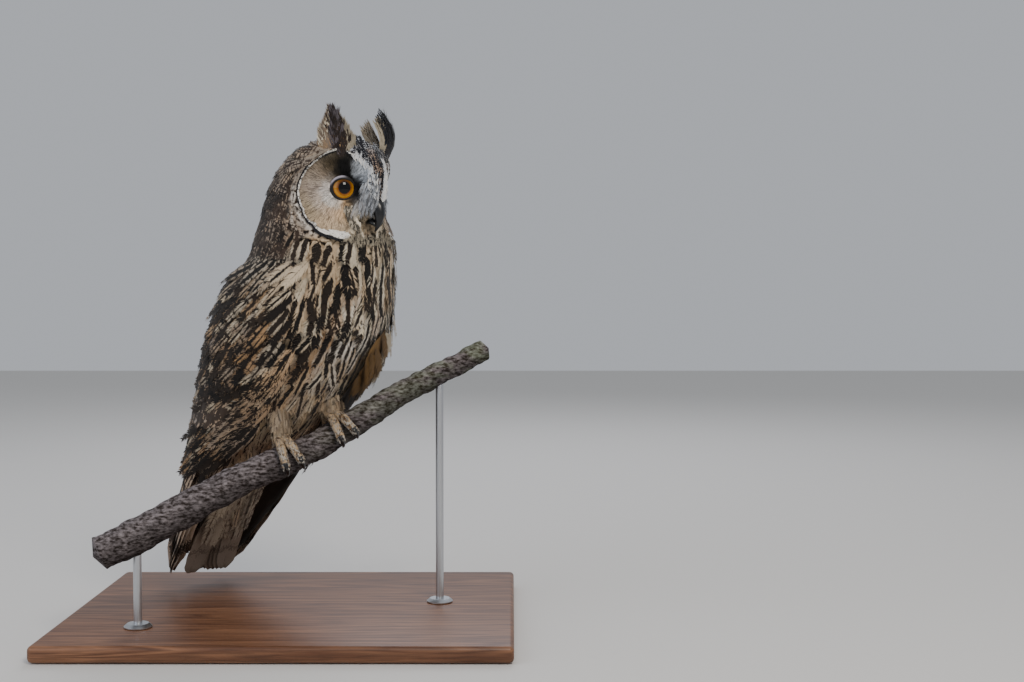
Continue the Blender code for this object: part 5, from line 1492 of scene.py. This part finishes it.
def tuftLook(side, share, hind):
    # the vane's colours and marks, and how many loose barbs stand along it
    if abs(share - 0.20) < 0.56:
        look = [tint["tuftDark" if side > 0 else "blueBlack"], tint["tan"] * 0.25, (0.04, 0, 0)], 30
    elif share < 0:
        look = [tinted("greyBuff", buff=draw.uniform(0.2, 0.8)) * 0.50, tint["brown"], (-0.05, 0, 0)], 190
    else:
        look = [tint["cream"] * 0.40, tint["brown"], (0.06, 0, 0)], 130
    if side > 0 and abs(share - 0.1) < 0.18:
        look[0][0] = tinted(look[0][0], lilac=0.16)
    if side < 0 and hind:
        look[0][0] = tinted("cream", greyBuff=draw.uniform(0.2, 0.8))
    return look


for side, word in ((1, "right"), (-1, "left")):
    store, fringe = newStore(), []
    base = headSpot(side * tuftShape["aside"], tuftShape["ahead"], tuftShape["base"] - tuftShape["sunk"])
    facing = unit(np.array([side * 0.72, 0.70, 0.0]))
    toFront = unit(np.array([-side * 0.70, 0.72, 0.0]))
    t = vaneShares
    for i in range(tuftShape["count"]):
        share = -1 + 2 * i / (tuftShape["count"] - 1)
        hind = share <= -0.25
        bulge = tuftShape["bulge"] * (1 - share * share) * (1.15 if side < 0 else 1)
        root = base + toFront * (tuftShape["reach"] * share + 0.0012) + facing * (bulge - 0.0015)
        length = tuftShape["length"] * (1 - 0.30 * abs(share - 0.02) ** 1.3) * draw.uniform(0.985, 1.01)
        lean = toFront * (-0.0076 * share + tuftShape["tipShift"]) + facing * (0.0005 - bulge * 0.2)
        bow = tuftShape["bow"]
        # the left one is seen from its edge: it leans out, with shorter feathers behind
        if side < 0:
            lean = toFront * -0.0040 * share + facing * (-0.0150 + 0.0030 * (share + 1) if hind else -0.0055)
            length, bow = (length * 0.76, 0.0) if hind else (length, 0.0084 - 0.0030 * max(share, 0))
        run = lean + [0, 0, length + tuftShape["sunk"]]
        way = unit(run)
        across = unit(np.cross(way, unit(facing + toFront * 0.75 * share)))
        out = unit(np.cross(across, way))
        middle = root + run * t[:, None] + facing * (bow * np.sin(math.pi * t))[:, None]
        middle = middle + toFront * (tuftShape["belly"] * share * np.sin(math.pi * t ** 0.9))[:, None]
        wide = tuftShape["half"] * np.interp(t, *np.array(tuftShape["width"]).T) * draw.uniform(0.9, 1.1)
        (tone, dark, marks), many = tuftLook(side, share, hind)
        rootUv = (0.1 + 0.06 * i, 0.5 + 0.2 * side, 0)
        layVane(store, middle, np.tile(across, (len(t), 1)), np.tile(out, (len(t), 1)), wide,
                (tone, dark, marks), rootUv)
        for _ in range(many):
            s = draw.uniform(0.05, 0.93)
            edge = draw.uniform(-1, 1) if many == 30 else (-1 if share < 0 else 1) * draw.uniform(0.1, 1.0)
            k = int(s * vaneGrid["along"])
            loose = draw.uniform(0.1, 0.5) + (0.5 if share < -0.6 and s < 0.7 else 0)
            grow = unit(way + across * edge * loose + out * draw.normal(0, 0.12))
            colour = tinted("buff", rufous=0.35) if s < 0.26 and share < -0.1 else tone
            colour = tint["cream"] if share < -0.3 and draw.uniform(0, 1) > 0.72 else colour
            size = (0.0015, draw.uniform(0.004, 0.0078), 0.003)
            fringe.append((middle[k] + across * wide[k] * edge, out, grow, size,
                           colour * draw.uniform(0.6, 1.15), dark, (0.05, 0, 0), rootUv))
    vanePiece("ear_tuft_vanes_" + word, store, softFeather, ("ear_tuft_" + word,))
    place, out, lie, size, *colours, rootUv = (np.array(column, float) for column in zip(*fringe))
    growCoat("ear_tuft_fringe_" + word, rootSet(place, out, lie, size, colours, rootUv), "wisps", tuftShape)


def limbRoots(number, share, kept):
    # feathers round a leg or toe: place, outward way, the way along the limb and the spot on the unwrap
    spots, radii = limbs[number]
    spin = draw.uniform(0, 2 * math.pi, len(share))
    step = share * (len(spots) - 1)
    low = np.minimum(step.astype(int), len(spots) - 2)
    part = (step - low)[:, None]
    middle = spots[low] * (1 - part) + spots[low + 1] * part
    radius = radii[low] * (1 - part[:, 0]) + radii[low + 1] * part[:, 0]
    run = unit(spots[low + 1] - spots[low])
    first = unit(np.cross(run, [0.3, 0.2, 1.0]))
    out = first * np.cos(spin)[:, None] + np.cross(run, first) * np.sin(spin)[:, None]
    return middle + out * (radius * kept)[:, None], out, run, limbUv(number, spin / (2 * math.pi), share)


# Legs and toes: short pale wisps down to the claws
legCoat = dict(count=900, width=0.0020, length=0.0062, rise=0.8, shake=0.22)
toeCoat = dict(count=340, width=0.0011, length=0.0030, rise=0.5, shake=0.22)
parts = []
for number in range(len(limbs)):
    toe = number >= len(legRoutes)
    coat = toeCoat if toe else legCoat
    many = coat["count"]
    share = draw.uniform(0, 1, many)
    share = share if toe else 1 - share
    place, out, run, uv = limbRoots(number, share, 0.96)
    lie = swayed(run if toe else -run, out, coat["shake"])
    size = sizes(many, coat["width"], coat["length"]) * [1, 1, coat["rise"]]
    pale = tinted("thigh", legBuff=draw.uniform(0, 0.8, many))
    if toe:
        pale = blend(tint["thigh"], tint["toe"] * [0.80, 0.84, 0.90], share * 1.4)
        pale = pale * np.where(draw.uniform(0, 1, many) < 0.14 + 0.24 * share, 0.36, 1.0)[:, None]
    pale = pale * draw.uniform(0.85, 1.12, (many, 1))
    parts.append(rootSet(place, out, lie, size, (pale, pale * 0.4, (0.1, 0, 0.05)), uv))
growCoat("legs_and_toes", joined(parts), "wisps", dict(seed=21))

# Trousers: loose buff plumes that hang over the legs
thighCoat = dict(count=230, width=0.0066, length=0.0190, low=0.14, high=0.80, shake=0.20, seed=22, rise=0.6)
parts = []
for number in range(len(legRoutes)):
    many = thighCoat["count"]
    share = thighCoat["low"] + (thighCoat["high"] - thighCoat["low"]) * draw.uniform(0, 1, many)
    place, out, run, uv = limbRoots(number, share, 0.9)
    sway = draw.normal(0, thighCoat["shake"], many)[:, None]
    lie = unit(-run + out * 0.10 + np.cross(out, run) * sway)
    size = sizes(many, thighCoat["width"], thighCoat["length"], 0.15)
    size = size * (0.45 + 0.55 * smooth(0.10, 0.6, share))[:, None] * [1, 1, 0.5]
    pale = tinted("thigh", cream=draw.uniform(0, 0.30, many), greyBuff=draw.uniform(0, 0.5, many))
    marks = columns(draw.uniform(0, 0.45, many) * smooth(0.3, 0.8, share), 0.0, 0.02)
    parts.append(rootSet(place, out, lie, size, (pale, pale * 0.3, marks), uv))
growCoat("leg_plumes", joined(parts), "plumes", thighCoat)


# The stand: an oiled hardwood board and two brushed steel rods, each on a turned foot
standShape = dict(length=0.33, depth=0.25, thick=0.012, edge=0.0035, edgeSteps=5, rodRadius=0.003,
                  footRadius=0.010, footTop=0.008, footHeight=0.003, gap=0.0003, around=64)
# growth rings 11 mm apart, drawn out along the board, with fine dark pores of about 1 mm
wood, woodTree, woodShader = newMaterial("Oiled hardwood board, sanded", 0.42, {"Specular IOR Level": 0.4})
drawnOut = addNode(woodTree, "ShaderNodeVectorMath", {"operation": "MULTIPLY"}, {
    0: addNode(woodTree, "ShaderNodeTexCoord").outputs["Object"], 1: (0.045, 1.0, 1.0)}).outputs[0]
rings, pores = (addNode(woodTree, "ShaderNodeTexNoise", None, {
    "Vector": drawnOut, "Scale": 1 / size, "Detail": detail, "Distortion": bent}).outputs[0]
    for size, detail, bent in ((0.011, 2.0, 0.6), (0.0011, 3.0, 0.0)))
banded = addNode(woodTree, "ShaderNodeMath", {"operation": "PINGPONG"}, {0: rings, 1: 0.09})
grainShare = addNode(woodTree, "ShaderNodeMapRange", None, {
    "Value": banded.outputs[0], "From Min": 0.0, "From Max": 0.09})
woodMix = addNode(woodTree, "ShaderNodeMix", {"data_type": "RGBA"}, {
    0: grainShare.outputs[0], 6: "5d3b27", 7: "8a6044"})
poreShare = addNode(woodTree, "ShaderNodeMapRange", None, {
    "Value": pores, "From Min": 0.40, "From Max": 0.56, "To Min": 0.72, "To Max": 1.0})
woodDone = addNode(woodTree, "ShaderNodeMix", {"data_type": "RGBA", "blend_type": "MULTIPLY"}, {
    0: 1.0, 6: woodMix.outputs[2], 7: poreShare.outputs[0]})
woodTree.links.new(woodDone.outputs[2], woodShader.inputs["Base Color"])
bpy.ops.mesh.primitive_cube_add(size=1)
board = bpy.context.object
board.name = "board"
board.scale = (standShape["length"], standShape["depth"], standShape["thick"])
board.location = (0, 0, standShape["thick"] / 2)
bpy.ops.object.transform_apply(location=True, rotation=False, scale=True)
rounded = board.modifiers.new("edge", "BEVEL")
rounded.width = standShape["edge"]
rounded.segments = standShape["edgeSteps"]
bpy.ops.object.modifier_apply(modifier="edge")
board.data.shade_smooth()
board.data.set_sharp_from_angle(angle=math.radians(30))
board.data.materials.append(wood)
settle(board, ("stand_base",), inOwl=False)

# brushed steel, even and a little dull, so that the rods stay quiet under the perch
steel, _, _ = newMaterial("Brushed stainless steel rod", 0.32, {
    "Metallic": 1.0, "Base Color": (*linear("c3c5c8"), 1)})
for word in ("left", "right"):
    low, high = (np.array(corner, float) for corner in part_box("stand_rod_" + word)[:2])
    middle, foot = (low + high) / 2, low[2]
    crown, way, thick = branchAt(middle[0])
    steep = math.hypot(way[0], way[1])
    profile = [(standShape["footRadius"] * 0.97, 0.0), (standShape["footRadius"], 0.0004),
               (standShape["footRadius"], 0.0010), (standShape["footTop"], standShape["footHeight"] - 0.0003),
               (standShape["footTop"] - 0.0005, standShape["footHeight"]),
               (standShape["rodRadius"], standShape["footHeight"]),
               (standShape["rodRadius"], high[2] - foot - 0.006), (standShape["rodRadius"], None)]
    around = standShape["around"]
    places = []
    for reach, rise in profile:
        for turn in 2 * math.pi * np.arange(around) / around:
            x, y = middle[0] + reach * math.cos(turn), middle[1] + reach * math.sin(turn)
            # the top is cut to the branch's underside
            under = branchAt(x)[0][2] - math.sqrt(max(thick ** 2 - (y - crown[1]) ** 2, 0)) / steep
            places.append((x, y, under - standShape["gap"] if rise is None else foot + rise))
    bottom, top, last = len(places), len(places) + 1, len(places) - around
    places += [(middle[0], middle[1], foot), tuple(np.mean(places[-around:], axis=0))]
    faces = [ring[::-1] for ring in ringFaces(len(profile), around)]
    faces += [(bottom, (k + 1) % around, k) for k in range(around)]
    faces += [(top, last + k, last + (k + 1) % around) for k in range(around)]
    rod = newPiece("rod_and_foot_" + word, places, faces, finish=steel)
    rod.data.set_sharp_from_angle(angle=math.radians(25))
    settle(rod, ("stand_rod_" + word,), inOwl=False)
print("stand: done")

# the templates have done their work
for store in (plumes, wisps):
    for piece in list(store.objects):
        bpy.data.objects.remove(piece, do_unlink=True)
    bpy.data.collections.remove(store)
